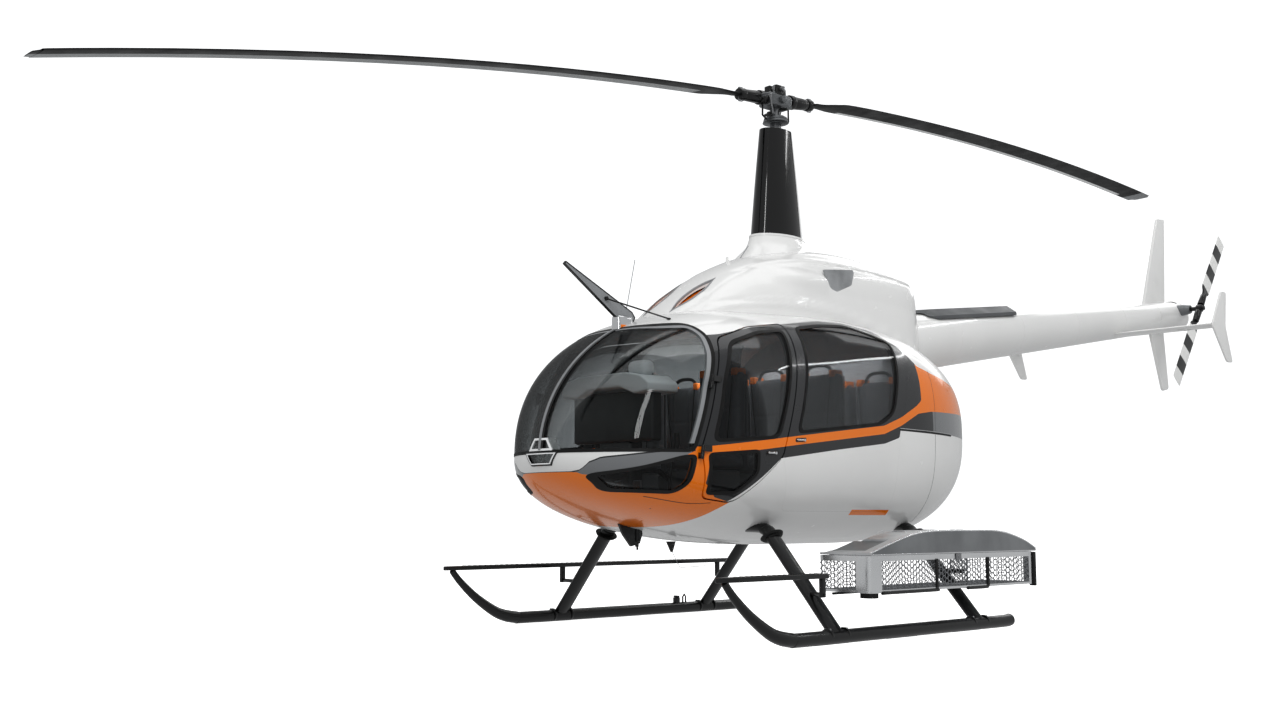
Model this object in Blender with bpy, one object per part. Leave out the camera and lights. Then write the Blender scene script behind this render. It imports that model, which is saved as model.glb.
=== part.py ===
"""A ten-seat, single-turbine helicopter on skids, with two blades and a cargo basket.

Units are metres. The nose points to -Y, the port side is +X and the skids stand on Z = 0.
Every shape is laid out in the mast's frame, where the mast's axis is X = Y = 0, and hangs
from an empty that puts the middle of the whole machine's box over the world's origin.
"""

import math

import bmesh
import bpy
from mathutils import Matrix, Vector

# Place of the mast in the world
MAST_X = -0.0555
MAST_Y = -0.9611
MAST_Z = -0.0350          # the drawing's ground lies this far above its zero

# Clearances
FIT = 0.0004          # between fixed pieces that touch
DOOR_GAP = 0.008      # round a door that swings
SHUT_GAP = 0.010      # between the two doors of one side

# Cabin pod
NOSE_Y = -2.39
TAIL_Y = 1.87
POD_HALF_WIDTH = 1.0
POD_HEIGHT = 0.98         # above the widest line
POD_BELLY_Z = 0.635
WIDEST_Z = 1.23           # height of the widest line at the nose
WIDEST_RISE = 0.07        # its rise for each metre aft
WALL = 0.038
GLASS = 0.010
POD_SIDES = 32
POD_STATIONS = 28
POST_HALF = 0.030         # half width of the windscreen's centre post

# Side-view outlines, as (Y, Z)
WINDSCREEN = ((-2.75, 1.255), (-1.800, 1.255), (-1.682, 1.66), (-1.588, 1.885), (-1.550, 2.03),
              (-1.565, 2.125), (-1.72, 2.125), (-2.05, 2.30), (-2.75, 2.30))
FRONT_DOOR = ((-1.755, 1.26), (-1.62, 1.72), (-1.495, 2.015), (-1.20, 2.118), (-0.797, 2.183),
              (-1.130, 1.232), (-1.47, 0.925), (-1.685, 0.955))
REAR_DOOR = ((-0.797, 2.183), (-0.40, 2.25), (0.0, 2.285), (0.36, 2.22), (0.43, 2.12),
             (0.19, 1.46), (0.15, 1.20), (0.16, 0.875), (-1.02, 0.875), (-1.130, 1.232))
FRONT_WINDOW = ((-1.67, 1.32), (-1.565, 1.72), (-1.43, 1.985), (-1.15, 2.08), (-0.87, 2.125),
                (-1.165, 1.36))
LOWER_WINDOW = ((-1.70, 1.232), (-1.345, 1.262), (-1.345, 1.12), (-1.48, 0.99), (-1.665, 0.985))
REAR_WINDOW = ((-0.70, 2.155), (-0.40, 2.21), (-0.03, 2.245), (0.33, 2.145), (0.11, 1.59),
               (-0.05, 1.50), (-0.97, 1.40))
CHIN_WINDOW = ((-2.27, 1.10), (-2.16, 1.005), (-1.86, 0.99), (-1.805, 1.05), (-1.79, 1.22),
               (-1.86, 1.215), (-2.07, 1.145))

# Lines that part the fixed shell, as Y or Z
NOSE_BELLY_Y = -1.60
BELT_Z = 1.255
BELLY_AFT_Y = 0.10
ROOF_AFT_Y = 0.36
DOOR_INNER_Y = -1.70      # a line well inside the front door
DOOR_MEET_Z = 1.32        # above the point where the two doors and the belly meet

# Front door hinges: a line that leans aft as it rises
HINGE_LOW = Vector((0.872, -1.798, 1.10))
HINGE_HIGH = Vector((0.884, -1.690, 1.70))
KNUCKLE_RADIUS = 0.013
KNUCKLE_LENGTH = 0.045

# Rotors
ROTOR_RADIUS = 5.60
HUB_Z = 4.14
BLADE_CHORD = 0.25
BLADE_THICKNESS = 0.030
BLADE_ROOT = 0.42
GRIP_FIT = 0.0009         # between a grip's end and its blade
MAST_RADIUS = 0.045
MAST_FOOT_Z = 2.62
SWASHPLATE_Z = 3.975
# name, azimuth from +Y in degrees, slope at the hub, droop for each metre squared, pitch in radians
MAIN_BLADES = (("main_blade_forward", 182.6, -0.0787, -0.01509, -0.07),
               ("main_blade_aft", 2.6, 0.1019, -0.01562, 0.0))
TAIL_HUB = Vector((0.361, 6.786, 3.16))
TAIL_RADIUS = 1.085
TAIL_CHORD = 0.18
TAIL_BLADES = (("tail_blade_upper", 52.4), ("tail_blade_lower", 232.4))

# Tail boom
BOOM_START = Vector((0.0, 1.30, 2.282))
BOOM_END = Vector((0.0, 7.0, 3.142))
BOOM_START_RADIUS = 0.264
BOOM_END_RADIUS = 0.155
BOOM_WALL = 0.012
BOOM_SIDES = 28

# Landing gear
SKID_X = 1.356
SKID_RADIUS = 0.045
SKID_Z = 0.0778            # the ten-sided tube rests on a flat
LEG_FRONT_Y = -1.057
LEG_REAR_Y = 0.569
LEG_HALF_Y = 0.065
LEG_HALF_T = 0.035
LEG_FOOT_X = 1.360
LEG_FOOT_Z = 0.090
BOOT_X = 0.825
BOOT_Z = 0.709
CROSS_BAR_Z = 0.765

# Cargo basket
BASKET_X0 = 1.06
BASKET_X1 = 1.50
BASKET_Y0 = -0.87
BASKET_Y1 = 1.12
BASKET_Z0 = 0.35
BASKET_RIM = 0.585
BASKET_WALL = 0.012
LID_HINGE = Vector((1.070, 0.125, 0.605))

COLLECTION = "helicopter"


def clear_scene():
    for obj in list(bpy.data.objects):
        bpy.data.objects.remove(obj, do_unlink=True)
    for name in (COLLECTION, "cutters"):
        if name in bpy.data.collections:
            bpy.data.collections.remove(bpy.data.collections[name])


def make_collection(name):
    made = bpy.data.collections.new(name)
    bpy.context.scene.collection.children.link(made)
    return made


def make_material(name, color, roughness, metallic=0.0, alpha=1.0):
    mat = bpy.data.materials.new(name)
    mat.use_nodes = True
    shader = mat.node_tree.nodes["Principled BSDF"]
    shader.inputs["Base Color"].default_value = (*color, 1.0)
    shader.inputs["Roughness"].default_value = roughness
    shader.inputs["Metallic"].default_value = metallic
    shader.inputs["Alpha"].default_value = alpha
    return mat


clear_scene()
PARTS = make_collection(COLLECTION)
CUTTERS = make_collection("cutters")

WHITE = make_material("white_paint", (0.80, 0.80, 0.80), 0.25)
ORANGE = make_material("orange_paint", (0.85, 0.22, 0.02), 0.25)
BLACK = make_material("black_paint", (0.015, 0.015, 0.016), 0.35)
STEEL = make_material("steel", (0.45, 0.45, 0.46), 0.35, 1.0)
BRUSHED = make_material("brushed_aluminium", (0.60, 0.60, 0.61), 0.38, 1.0)
CLEAR = make_material("window_glass", (0.10, 0.11, 0.12), 0.03, 0.0, 0.35)
LEATHER = make_material("seat_leather", (0.05, 0.05, 0.052), 0.5)
PLASTIC = make_material("grey_plastic", (0.30, 0.30, 0.31), 0.5)
PRIMER = make_material("primer", (0.30, 0.33, 0.28), 0.6)


def make_pivot(name, place, parent=None):
    """An empty on a joint's axis; without a parent it stands in the world."""
    empty = bpy.data.objects.new(name, None)
    empty.empty_display_size = 0.1
    PARTS.objects.link(empty)
    empty.parent = parent
    empty.location = place
    return empty


MAST = make_pivot("mast_line", (MAST_X, MAST_Y, MAST_Z))


def link_mesh(name, mesh, mat, pivot=None):
    """Put a mesh drawn in the mast's frame in the model, under a pivot when it moves."""
    obj = bpy.data.objects.new(name, mesh)
    PARTS.objects.link(obj)
    obj.parent = pivot or MAST
    obj.location = -pivot.location if pivot else Vector()
    mesh.materials.append(mat)
    return obj


def link_cutter(name, mesh):
    obj = bpy.data.objects.new(name, mesh)
    CUTTERS.objects.link(obj)
    obj.parent = MAST
    obj.hide_render = True
    obj.display_type = "WIRE"
    return obj


def boolean(obj, other, operation):
    mod = obj.modifiers.new(operation.lower(), "BOOLEAN")
    mod.operation = operation
    mod.object = other
    mod.solver = "EXACT"


def to_mesh(name, bm):
    bmesh.ops.recalc_face_normals(bm, faces=bm.faces)
    mesh = bpy.data.meshes.new(name)
    bm.to_mesh(mesh)
    bm.free()
    return mesh


def loft_mesh(name, rings, poles=(None, None)):
    """A closed solid through rings of equal length, ended by flat caps or by single points."""
    bm = bmesh.new()
    rows = [[bm.verts.new(p) for p in ring] for ring in rings]
    count = len(rows[0])
    for low, high in zip(rows, rows[1:]):
        for i in range(count):
            j = (i + 1) % count
            bm.faces.new((low[i], low[j], high[j], high[i]))
    for row, pole in ((rows[0], poles[0]), (rows[-1], poles[1])):
        if pole is None:
            bm.faces.new(row)
            continue
        tip = bm.verts.new(pole)
        for i in range(count):
            bm.faces.new((row[i], row[(i + 1) % count], tip))
    return to_mesh(name, bm)


def box_mesh(name, low, high):
    bm = bmesh.new()
    bmesh.ops.create_cube(bm, size=1.0)
    low, high = Vector(low), Vector(high)
    bmesh.ops.scale(bm, vec=high - low, verts=bm.verts)
    bmesh.ops.translate(bm, vec=(low + high) / 2, verts=bm.verts)
    return to_mesh(name, bm)


def sorted_box(a, b):
    """The low and high corners of the box that two opposite corners span."""
    return [tuple(pick(p, q) for p, q in zip(a, b)) for pick in (min, max)]


def cone_mesh(name, start, end, radius_start, radius_end=None, sides=20):
    """A cylinder or cone between two points."""
    start, end = Vector(start), Vector(end)
    bm = bmesh.new()
    bmesh.ops.create_cone(bm, cap_ends=True, segments=sides, radius1=radius_start,
                          radius2=radius_start if radius_end is None else radius_end,
                          depth=(end - start).length)
    turn = Vector((0, 0, 1)).rotation_difference((end - start).normalized()).to_matrix().to_4x4()
    bmesh.ops.transform(bm, matrix=Matrix.Translation((start + end) / 2) @ turn, verts=bm.verts)
    return to_mesh(name, bm)


def join_into(name, meshes, mat, pivot=None):
    """One solid from overlapping meshes; the first one carries the union."""
    obj = link_mesh(name, meshes[0], mat, pivot)
    for mesh in meshes[1:]:
        boolean(obj, link_cutter(mesh.name, mesh), "UNION")
    return obj


def offset_outline(points, distance):
    """The outline moved outwards by a distance, inwards where it is negative."""
    pts = [Vector(p) for p in points]
    count = len(pts)
    area = sum(pts[i].x * pts[(i + 1) % count].y - pts[(i + 1) % count].x * pts[i].y
               for i in range(count))
    side = 1.0 if area > 0 else -1.0
    moved = []
    for i in range(count):
        before = (pts[i] - pts[i - 1]).normalized()
        after = (pts[(i + 1) % count] - pts[i]).normalized()
        normal_a = Vector((before.y, -before.x)) * side
        normal_b = Vector((after.y, -after.x)) * side
        bend = (normal_a + normal_b).normalized()
        moved.append(pts[i] + bend * (distance / max(0.3, bend.dot(normal_a))))
    return moved


def round_outline(points, radius, steps=3):
    """The outline with each corner turned into a short arc."""
    if radius <= 0:
        return [Vector(p) for p in points]
    pts = [Vector(p) for p in points]
    count = len(pts)
    rounded = []
    for i in range(count):
        here = pts[i]
        back = pts[i - 1] - here
        ahead = pts[(i + 1) % count] - here
        reach = min(radius, back.length * 0.45, ahead.length * 0.45)
        start = here + back.normalized() * reach
        end = here + ahead.normalized() * reach
        for k in range(steps + 1):
            t = k / steps
            rounded.append(start.lerp(here, t).lerp(here.lerp(end, t), t))
    return rounded


def side_prism(name, outline, x0, x1):
    """A solid between two X planes whose side view is the outline in (Y, Z)."""
    return loft_mesh(name, [[(x, p[0], p[1]) for p in outline] for x in (x0, x1)])


def plan_prism(name, outline, z0, z1):
    return loft_mesh(name, [[(p[0], p[1], z) for p in outline] for z in (z0, z1)])


def pod_bulge(y, front, rear, y0, y1):
    """One between two stations, falling as an ellipse to nothing at each end."""
    if y < front:
        t = (front - y) / (front - y0)
    elif y > rear:
        t = (y - rear) / (y1 - rear)
    else:
        t = 0.0
    return math.sqrt(max(0.0, 1.0 - t * t))


def pod_ring(y, inset):
    """The pod's cross-section at a station: a superellipse that squares up amidships."""
    y0, y1 = NOSE_Y + inset, TAIL_Y - inset
    fullness = pod_bulge(y, -1.03, 0.40, y0, y1)
    half = (POD_HALF_WIDTH - inset) * fullness
    middle = WIDEST_Z + WIDEST_RISE * (y - NOSE_Y)
    rise = (POD_HEIGHT - inset) * pod_bulge(y, -1.06, -0.38, y0, y1)
    drop = (middle - POD_BELLY_Z - inset) * pod_bulge(y, -0.40, 0.33, y0, y1)
    power = 2.0 / (2.0 + 0.9 * fullness)
    ring = []
    for k in range(POD_SIDES):
        angle = math.tau * k / POD_SIDES
        c, s = math.cos(angle), math.sin(angle)
        height = rise if s > 0 else drop
        ring.append((half * math.copysign(abs(c) ** power, c), y,
                     middle + height * math.copysign(abs(s) ** power, s)))
    return ring


def pod_mesh(name, inset):
    y0, y1 = NOSE_Y + inset, TAIL_Y - inset
    stations = [y0 + (y1 - y0) * (1 - math.cos(math.pi * k / POD_STATIONS)) / 2
                for k in range(1, POD_STATIONS)]
    poles = [(0.0, y, WIDEST_Z + WIDEST_RISE * (y - NOSE_Y)) for y in (y0, y1)]
    return loft_mesh(name, [pod_ring(y, inset) for y in stations], poles)


POD_SOLID = link_cutter("pod_solid", pod_mesh("pod_solid", -FIT))
POD_INSIDE = link_cutter("pod_inside", pod_mesh("pod_inside", WALL))
POD_GLASS_INSIDE = link_cutter("pod_glass_inside", pod_mesh("pod_glass_inside", GLASS))
POD_ROOM = link_cutter("pod_room", pod_mesh("pod_room", WALL + 3 * FIT))


def side_cutter(name, outline, growth, side, radius=0.0):
    """A prism through one side of the pod; side is 1 for port, -1 for starboard, 0 for both."""
    shape = round_outline(offset_outline(outline, growth), radius)
    spans = {1: (0.05, 1.3), -1: (-1.3, -0.05), 0: (-1.3, 1.3)}
    return link_cutter(name, side_prism(name, shape, *spans[side]))


def both_sides(name, outline, growth, radius):
    return [side_cutter(f"{name}_{word}", outline, growth, side, radius)
            for word, side in (("left", 1), ("right", -1))]


CUT = {
    "front_door": both_sides("front_door_space", FRONT_DOOR, DOOR_GAP / 2, 0.05),
    "rear_door": both_sides("rear_door_space", REAR_DOOR, FIT, 0.05),
    "windscreen": [side_cutter("windscreen_space", WINDSCREEN, FIT, 0, 0.04)],
    "chin": both_sides("chin_space", CHIN_WINDOW, FIT, 0.04),
}


def shell_panel(name, outline, mat, side=0, radius=0.0, growth=-FIT / 2, pivot=None,
                inner=None, openings=()):
    """A piece of the pod's wall with the given side view, without the openings named."""
    obj = link_mesh(name, pod_mesh(name, 0.0), mat, pivot)
    boolean(obj, side_cutter(name + "_outline", outline, growth, side, radius), "INTERSECT")
    for key in openings:
        for cutter in CUT[key]:
            boolean(obj, cutter, "DIFFERENCE")
    boolean(obj, inner or POD_INSIDE, "DIFFERENCE")
    return obj


def pane(name, outline, side, radius, pivot=None):
    return shell_panel(name, outline, CLEAR, side, radius, -FIT, pivot, POD_GLASS_INSIDE)


def build_fixed_shell():
    nose_line = ((-2.75, 0.2), (NOSE_BELLY_Y, 0.2), (NOSE_BELLY_Y, BELT_Z - FIT), (-2.75, BELT_Z - FIT))
    belly_line = ((NOSE_BELLY_Y, 0.2), (BELLY_AFT_Y, 0.2), (BELLY_AFT_Y, DOOR_MEET_Z),
                  (NOSE_BELLY_Y, DOOR_MEET_Z))
    roof_line = ((-2.75, BELT_Z), (DOOR_INNER_Y, BELT_Z), (DOOR_INNER_Y, DOOR_MEET_Z),
                 (-0.20, DOOR_MEET_Z), (ROOF_AFT_Y, 2.18), (ROOF_AFT_Y, 3.0), (-2.75, 3.0))
    aft_line = ((BELLY_AFT_Y, 0.2), (2.4, 0.2), (2.4, 3.0), (ROOF_AFT_Y, 3.0), (ROOF_AFT_Y, 2.18),
                (BELLY_AFT_Y, 1.2))
    nose = shell_panel("nose_bowl", nose_line, ORANGE, openings=("front_door", "chin"))
    belly = shell_panel("belly_tub", belly_line, WHITE, openings=("front_door", "rear_door"))
    roof = shell_panel("roof_shell", roof_line, WHITE, openings=("front_door", "rear_door", "windscreen"))
    aft = shell_panel("aft_body", aft_line, WHITE, openings=("rear_door",))
    post = shell_panel("windscreen_post", WINDSCREEN, WHITE, 0, 0.04)
    strip = box_mesh("post_strip", (-POST_HALF, -2.6, 1.0), (POST_HALF, -1.4, 2.4))
    boolean(post, link_cutter("post_strip", strip), "INTERSECT")
    return nose, belly, roof, aft


def build_glass():
    for word, side in (("left", 1), ("right", -1)):
        screen = pane("windscreen_" + word, WINDSCREEN, 0, 0.04)
        half = box_mesh("screen_half", *sorted_box((side * (POST_HALF + FIT), -2.7, 1.0), (side * 1.3, -1.3, 2.5)))
        boolean(screen, link_cutter("screen_half_" + word, half), "INTERSECT")
        pane("chin_window_" + word, CHIN_WINDOW, side, 0.04)
        pane("rear_window_" + word, REAR_WINDOW, side, 0.06)


def build_rear_doors():
    opening = side_cutter("rear_window_space", REAR_WINDOW, 0.0, 0, 0.06)
    for word, side in (("left", 1), ("right", -1)):
        door = shell_panel("rear_door_" + word, REAR_DOOR, WHITE, side, 0.05)
        boolean(door, opening, "DIFFERENCE")
        boolean(door, SHUT_LINE, "DIFFERENCE")


def build_shut_line():
    """The gap between the doors, taken from the rear door's front edge."""
    top, bottom = Vector(REAR_DOOR[0]), Vector(REAR_DOOR[-1])
    along = (top - bottom).normalized()
    across = Vector((along.y, -along.x)) * SHUT_GAP / 2
    ends = (bottom - along * 0.02, top + along * 0.02)
    outline = [ends[0] - across, ends[1] - across, ends[1] + across, ends[0] + across]
    return link_cutter("shut_line", side_prism("shut_line", outline, -1.3, 1.3))


SHUT_LINE = build_shut_line()


def hinge_point(z, side):
    t = (z - HINGE_LOW.z) / (HINGE_HIGH.z - HINGE_LOW.z)
    point = HINGE_LOW.lerp(HINGE_HIGH, t)
    return Vector((point.x * side, point.y, point.z))


LEAF_HALF = 0.006         # half thickness of a hinge leaf
# level of a hinge, the door leaf's reach (inwards, aft), the frame leaf's reach (inwards, aft)
HINGES = ((1.245, (0.006, 0.100), (0.060, 0.012)), (1.70, (0.020, 0.103), (0.060, 0.044)))


def knuckle(name, z0, z1, side, reach):
    """A hinge barrel on the axis with a leaf that reaches into the skin."""
    low, high = hinge_point(z0, side), hinge_point(z1, side)
    barrel = cone_mesh(name + "_barrel", low, high, KNUCKLE_RADIUS, sides=16)
    middle = (low + high) / 2
    half = (z1 - z0) * 0.42
    tip = middle + Vector((-side * reach[0], reach[1], 0))
    along = (tip - middle).normalized()
    edge = Vector((along.y, -along.x, 0)) * LEAF_HALF
    outline = [middle + edge, middle - edge, tip - edge, tip + edge]
    leaf = plan_prism(name + "_leaf", [(p.x, p.y) for p in outline], middle.z - half, middle.z + half)
    return barrel, leaf


def build_front_doors(roof, nose):
    window = side_cutter("front_window_space", FRONT_WINDOW, 0.0, 0, 0.06)
    lower = side_cutter("lower_window_space", LOWER_WINDOW, 0.0, 0, 0.03)
    for word, side in (("left", 1), ("right", -1)):
        pivot = make_pivot("front_door_hinge_" + word, hinge_point(1.40, side), MAST)
        door = shell_panel("front_door_" + word, FRONT_DOOR, WHITE, side, 0.05, -DOOR_GAP / 2, pivot)
        boolean(door, SHUT_LINE, "DIFFERENCE")
        for cutter in (window, lower):
            boolean(door, cutter, "DIFFERENCE")
        for (level, door_reach, frame_reach), holder in zip(HINGES, (nose, roof)):
            for mesh in knuckle(f"door_knuckle_{word}_{level}", level + FIT, level + KNUCKLE_LENGTH,
                                side, door_reach):
                boolean(door, link_cutter(mesh.name, mesh), "UNION")
            for mesh in knuckle(f"frame_knuckle_{word}_{level}", level - KNUCKLE_LENGTH, level,
                                side, frame_reach):
                boolean(holder, link_cutter(mesh.name, mesh), "UNION")
        pane("front_window_" + word, FRONT_WINDOW, side, 0.06, pivot)
        pane("lower_window_" + word, LOWER_WINDOW, side, 0.03, pivot)


def inside_pod(obj):
    boolean(obj, POD_ROOM, "INTERSECT")
    return obj


def build_interior():
    floor = box_mesh("cabin_floor", (-1.1, -1.72, 0.842), (1.1, 0.449, 0.862))
    inside_pod(link_mesh("cabin_floor", floor, PLASTIC))
    wall = ((0.45, 0.70), (0.48, 0.70), (0.48, 1.30), (1.70, 1.30), (1.70, 1.33), (0.48, 1.33),
            (0.48, 2.60), (0.45, 2.60))
    inside_pod(link_mesh("firewall", side_prism("firewall", wall, -1.1, 1.1), PRIMER))
    engine = box_mesh("engine_block", (-0.32, 0.56, 1.3304), (0.32, 1.36, 1.90))
    link_mesh("engine_block", engine, STEEL)
    pedestal = box_mesh("console_pedestal", (-0.15, -2.00, 0.90), (0.15, -1.60, 1.36))
    shield = side_prism("glare_shield", [(-2.05, 1.36), (-1.72, 1.34), (-1.68, 1.50), (-1.86, 1.60)],
                        -0.36, 0.36)
    stand = box_mesh("console_stand", (-0.11, -1.715, 0.8624), (0.11, -1.55, 0.95))
    console = join_into("instrument_console", [pedestal, shield, stand], PLASTIC)
    inside_pod(console)
    for word, side in (("left", 1), ("right", -1)):
        seat = seat_row("seat_front_" + word, -1.47, 0.86, 1)
        seat.location = Vector((side * 0.40, 0, 0))
    inside_pod(seat_row("seat_row_middle", -0.74, 0.92, 4))
    inside_pod(seat_row("seat_row_rear", -0.02, 0.92, 4))


def seat_row(name, front, back_height, count):
    """Seats side by side on one base, parted by slots down to the base."""
    pitch = 0.45
    floor = 0.8624
    half = pitch * count / 2
    profile = [(front, floor), (front + 0.42, floor), (front + 0.46, floor + back_height + 0.10),
               (front + 0.36, floor + back_height + 0.10), (front + 0.33, floor + 0.42),
               (front, floor + 0.42)]
    row = link_mesh(name, side_prism(name, round_outline(profile, 0.03, 2), -half + 0.004, half - 0.004),
                    LEATHER)
    for k in range(1, count):
        x = -half + pitch * k
        slot = box_mesh(f"{name}_slot_{k}", (x - 0.010, front - 0.1, floor + 0.25),
                        (x + 0.010, front + 0.6, floor + 1.3))
        boolean(row, link_cutter(slot.name, slot), "DIFFERENCE")
    return row


# Cowling stations: Y, half width, top Z, base Z, squareness of the section
COWLING = ((-1.52, 0.20, 2.13, 2.02, 2.5), (-1.29, 0.36, 2.315, 2.02, 2.5),
           (-1.09, 0.43, 2.46, 2.05, 2.5), (-0.88, 0.47, 2.595, 2.05, 2.5),
           (-0.66, 0.50, 2.71, 2.05, 2.6), (-0.36, 0.52, 2.825, 2.05, 2.8),
           (0.00, 0.52, 2.895, 2.05, 3.2), (0.40, 0.51, 2.92, 2.02, 3.6),
           (0.80, 0.49, 2.90, 1.95, 4.0), (1.10, 0.465, 2.88, 1.90, 4.4),
           (1.27, 0.415, 2.865, 1.85, 4.4), (1.38, 0.35, 2.835, 1.80, 3.6),
           (1.47, 0.25, 2.76, 1.80, 3.0), (1.52, 0.16, 2.62, 1.80, 2.5))
COWLING_WALL = 0.020
# Mast collar: Z, half width, half length
COLLAR = ((2.75, 0.34, 0.48), (2.84, 0.255, 0.385), (2.92, 0.19, 0.305), (3.00, 0.162, 0.272))
EXHAUST = (Vector((0.0, 1.20, 2.655)), Vector((0.0, 1.565, 2.668)))
EXHAUST_RADIUS = 0.062


def arch_ring(y, half, top, base, squareness, steps=16):
    power = 2 / squareness
    ring = []
    for k in range(steps + 1):
        angle = math.pi * k / steps
        c, s = math.cos(angle), math.sin(angle)
        ring.append((half * math.copysign(abs(c) ** power, c), y,
                     base + (top - base) * max(0.0, s) ** power))
    return ring


def oval_ring(z, half_x, half_y, sides=24):
    return [(half_x * math.cos(a), half_y * math.sin(a), z) for a in (math.tau * k / sides for k in range(sides))]


def build_cowling(boom_solid):
    outer = loft_mesh("cowling", [arch_ring(*row) for row in COWLING])
    cowling = link_mesh("cowling", outer, WHITE)
    collar = loft_mesh("mast_collar", [oval_ring(*row) for row in COLLAR])
    boolean(cowling, link_cutter("mast_collar", collar), "UNION")
    rows = []
    for y, half, top, base, squareness in COWLING[1:-1]:
        rows.append(arch_ring(y, half - COWLING_WALL, top - COWLING_WALL, base - 0.3, squareness))
    boolean(cowling, link_cutter("cowling_inside", loft_mesh("cowling_inside", rows)), "DIFFERENCE")
    bore = cone_mesh("collar_bore", (0, 0, 2.6), (0, 0, 3.1), 0.12, sides=24)
    boolean(cowling, link_cutter("collar_bore", bore), "DIFFERENCE")
    boolean(cowling, POD_SOLID, "DIFFERENCE")
    boolean(cowling, boom_solid, "DIFFERENCE")


# Mast fairing: Z, half width, half length
MAST_FAIRING = ((COLLAR[-1][0] + FIT, 0.155, 0.262), (3.45, 0.130, 0.212), (3.88, 0.100, 0.162))


def build_mast_fairing():
    rings = [oval_ring(*row) for row in MAST_FAIRING]
    fairing = link_mesh("mast_fairing", loft_mesh("mast_fairing", rings), BLACK)
    bore = cone_mesh("fairing_bore", (0, 0, 2.9), (0, 0, 4.0), 0.060, sides=24)
    boolean(fairing, link_cutter("fairing_bore", bore), "DIFFERENCE")


def build_gearbox():
    box = box_mesh("gearbox_case", (-0.20, -0.26, 2.25), (0.20, 0.26, 2.48))
    neck = cone_mesh("gearbox_neck", (0, 0, 2.45), (0, 0, MAST_FOOT_Z - FIT), 0.11, 0.08, 20)
    gearbox = join_into("main_gearbox", [box, neck], STEEL)
    boolean(gearbox, POD_SOLID, "DIFFERENCE")


def boom_frame(t):
    return BOOM_START.lerp(BOOM_END, t), BOOM_START_RADIUS + (BOOM_END_RADIUS - BOOM_START_RADIUS) * t


def boom_solid_mesh(name, growth):
    """The boom's outer cone, raked at its after end."""
    rings = []
    for t in (0.0, 0.5, 0.97):
        centre, radius = boom_frame(t)
        radius += growth
        rings.append([(radius * math.cos(a), centre.y, centre.z + radius * math.sin(a))
                      for a in (math.tau * k / BOOM_SIDES for k in range(BOOM_SIDES))])
    centre, radius = boom_frame(1.0)
    radius += growth
    rings.append([(radius * 0.98 * math.cos(a), centre.y - 0.045 - 0.10 * math.sin(a),
                   centre.z + radius * math.sin(a))
                  for a in (math.tau * k / BOOM_SIDES for k in range(BOOM_SIDES))])
    return loft_mesh(name, rings)


FIN = ((6.14, 3.10), (6.59, 4.21), (6.77, 4.23), (6.67, 3.10), (6.62, 2.95), (6.69, 2.27),
       (6.54, 2.24), (6.27, 2.95))
FIN_HALF = 0.016
STABILISER_Y = (5.22, 5.53)
STABILISER_Z = 2.745
STABILISER_HALF = 0.019
STABILISER_TIP = 1.145
ENDPLATE = ((5.46, 3.10), (5.58, 3.10), (5.53, 2.75), (5.66, 2.39), (5.53, 2.385), (5.22, 2.735))
ENDPLATE_HALF = 0.010


def build_boom(boom_solid):
    boom = link_mesh("tail_boom", boom_solid_mesh("tail_boom", 0.0), WHITE)
    bore_rings = []
    for y_shift, t in ((-0.3, 0.0), (0.0, 0.5), (0.0, 0.955)):
        centre, radius = boom_frame(t)
        radius -= BOOM_WALL
        bore_rings.append([(radius * math.cos(a), centre.y + y_shift, centre.z + radius * math.sin(a))
                           for a in (math.tau * k / BOOM_SIDES for k in range(BOOM_SIDES))])
    boolean(boom, link_cutter("boom_bore", loft_mesh("boom_bore", bore_rings)), "DIFFERENCE")
    boolean(boom, POD_SOLID, "DIFFERENCE")
    slot = side_prism("fin_slot", offset_outline(FIN, FIT), -FIN_HALF - FIT, FIN_HALF + FIT)
    boolean(boom, link_cutter("fin_slot", slot), "DIFFERENCE")
    y0, y1 = STABILISER_Y
    slot = box_mesh("stabiliser_slot", (-0.4, y0 - FIT, STABILISER_Z - STABILISER_HALF - FIT),
                    (0.4, y1 + FIT, STABILISER_Z + STABILISER_HALF + FIT))
    boolean(boom, link_cutter("stabiliser_slot", slot), "DIFFERENCE")
    build_heat_shield(boom_solid)


# Heat shield stations: Y, half width at the lip, half width at the crest, crest above the boom
SHIELD = ((1.60, 0.11, 0.06, 0.022), (1.95, 0.20, 0.10, 0.024), (3.19, 0.20, 0.10, 0.026),
          (3.28, 0.12, 0.07, 0.010))
SHIELD_LIP = 0.030
SHIELD_DROP = 0.068       # from the crest to the top of the lip
SHIELD_AIR = 0.012        # between the shield and the boom


def boom_top(y):
    t = (y - BOOM_START.y) / (BOOM_END.y - BOOM_START.y)
    centre, radius = boom_frame(t)
    return centre.z + radius


def build_heat_shield(boom_solid):
    """A pressed cover that saddles the boom behind the exhaust, on two pads."""
    rings = []
    for y, lip, crest, rise in SHIELD:
        top = boom_top(y) + rise
        low = top - SHIELD_DROP
        rings.append([(-lip, y, low - SHIELD_LIP), (lip, y, low - SHIELD_LIP), (lip, y, low),
                      (crest, y, top), (-crest, y, top), (-lip, y, low)])
    shield = link_mesh("boom_heat_shield", loft_mesh("boom_heat_shield", rings), PLASTIC)
    space = link_cutter("shield_space", boom_solid_mesh("shield_space", SHIELD_AIR))
    boolean(shield, space, "DIFFERENCE")
    for y in (1.80, 3.10):
        z = boom_top(y)
        pad = link_cutter(f"shield_pad_{y}", box_mesh("shield_pad", (-0.05, y - 0.04, z - 0.03),
                                                       (0.05, y + 0.04, z + SHIELD_AIR + 0.004)))
        boolean(shield, pad, "UNION")
    boolean(shield, boom_solid, "DIFFERENCE")


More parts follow.
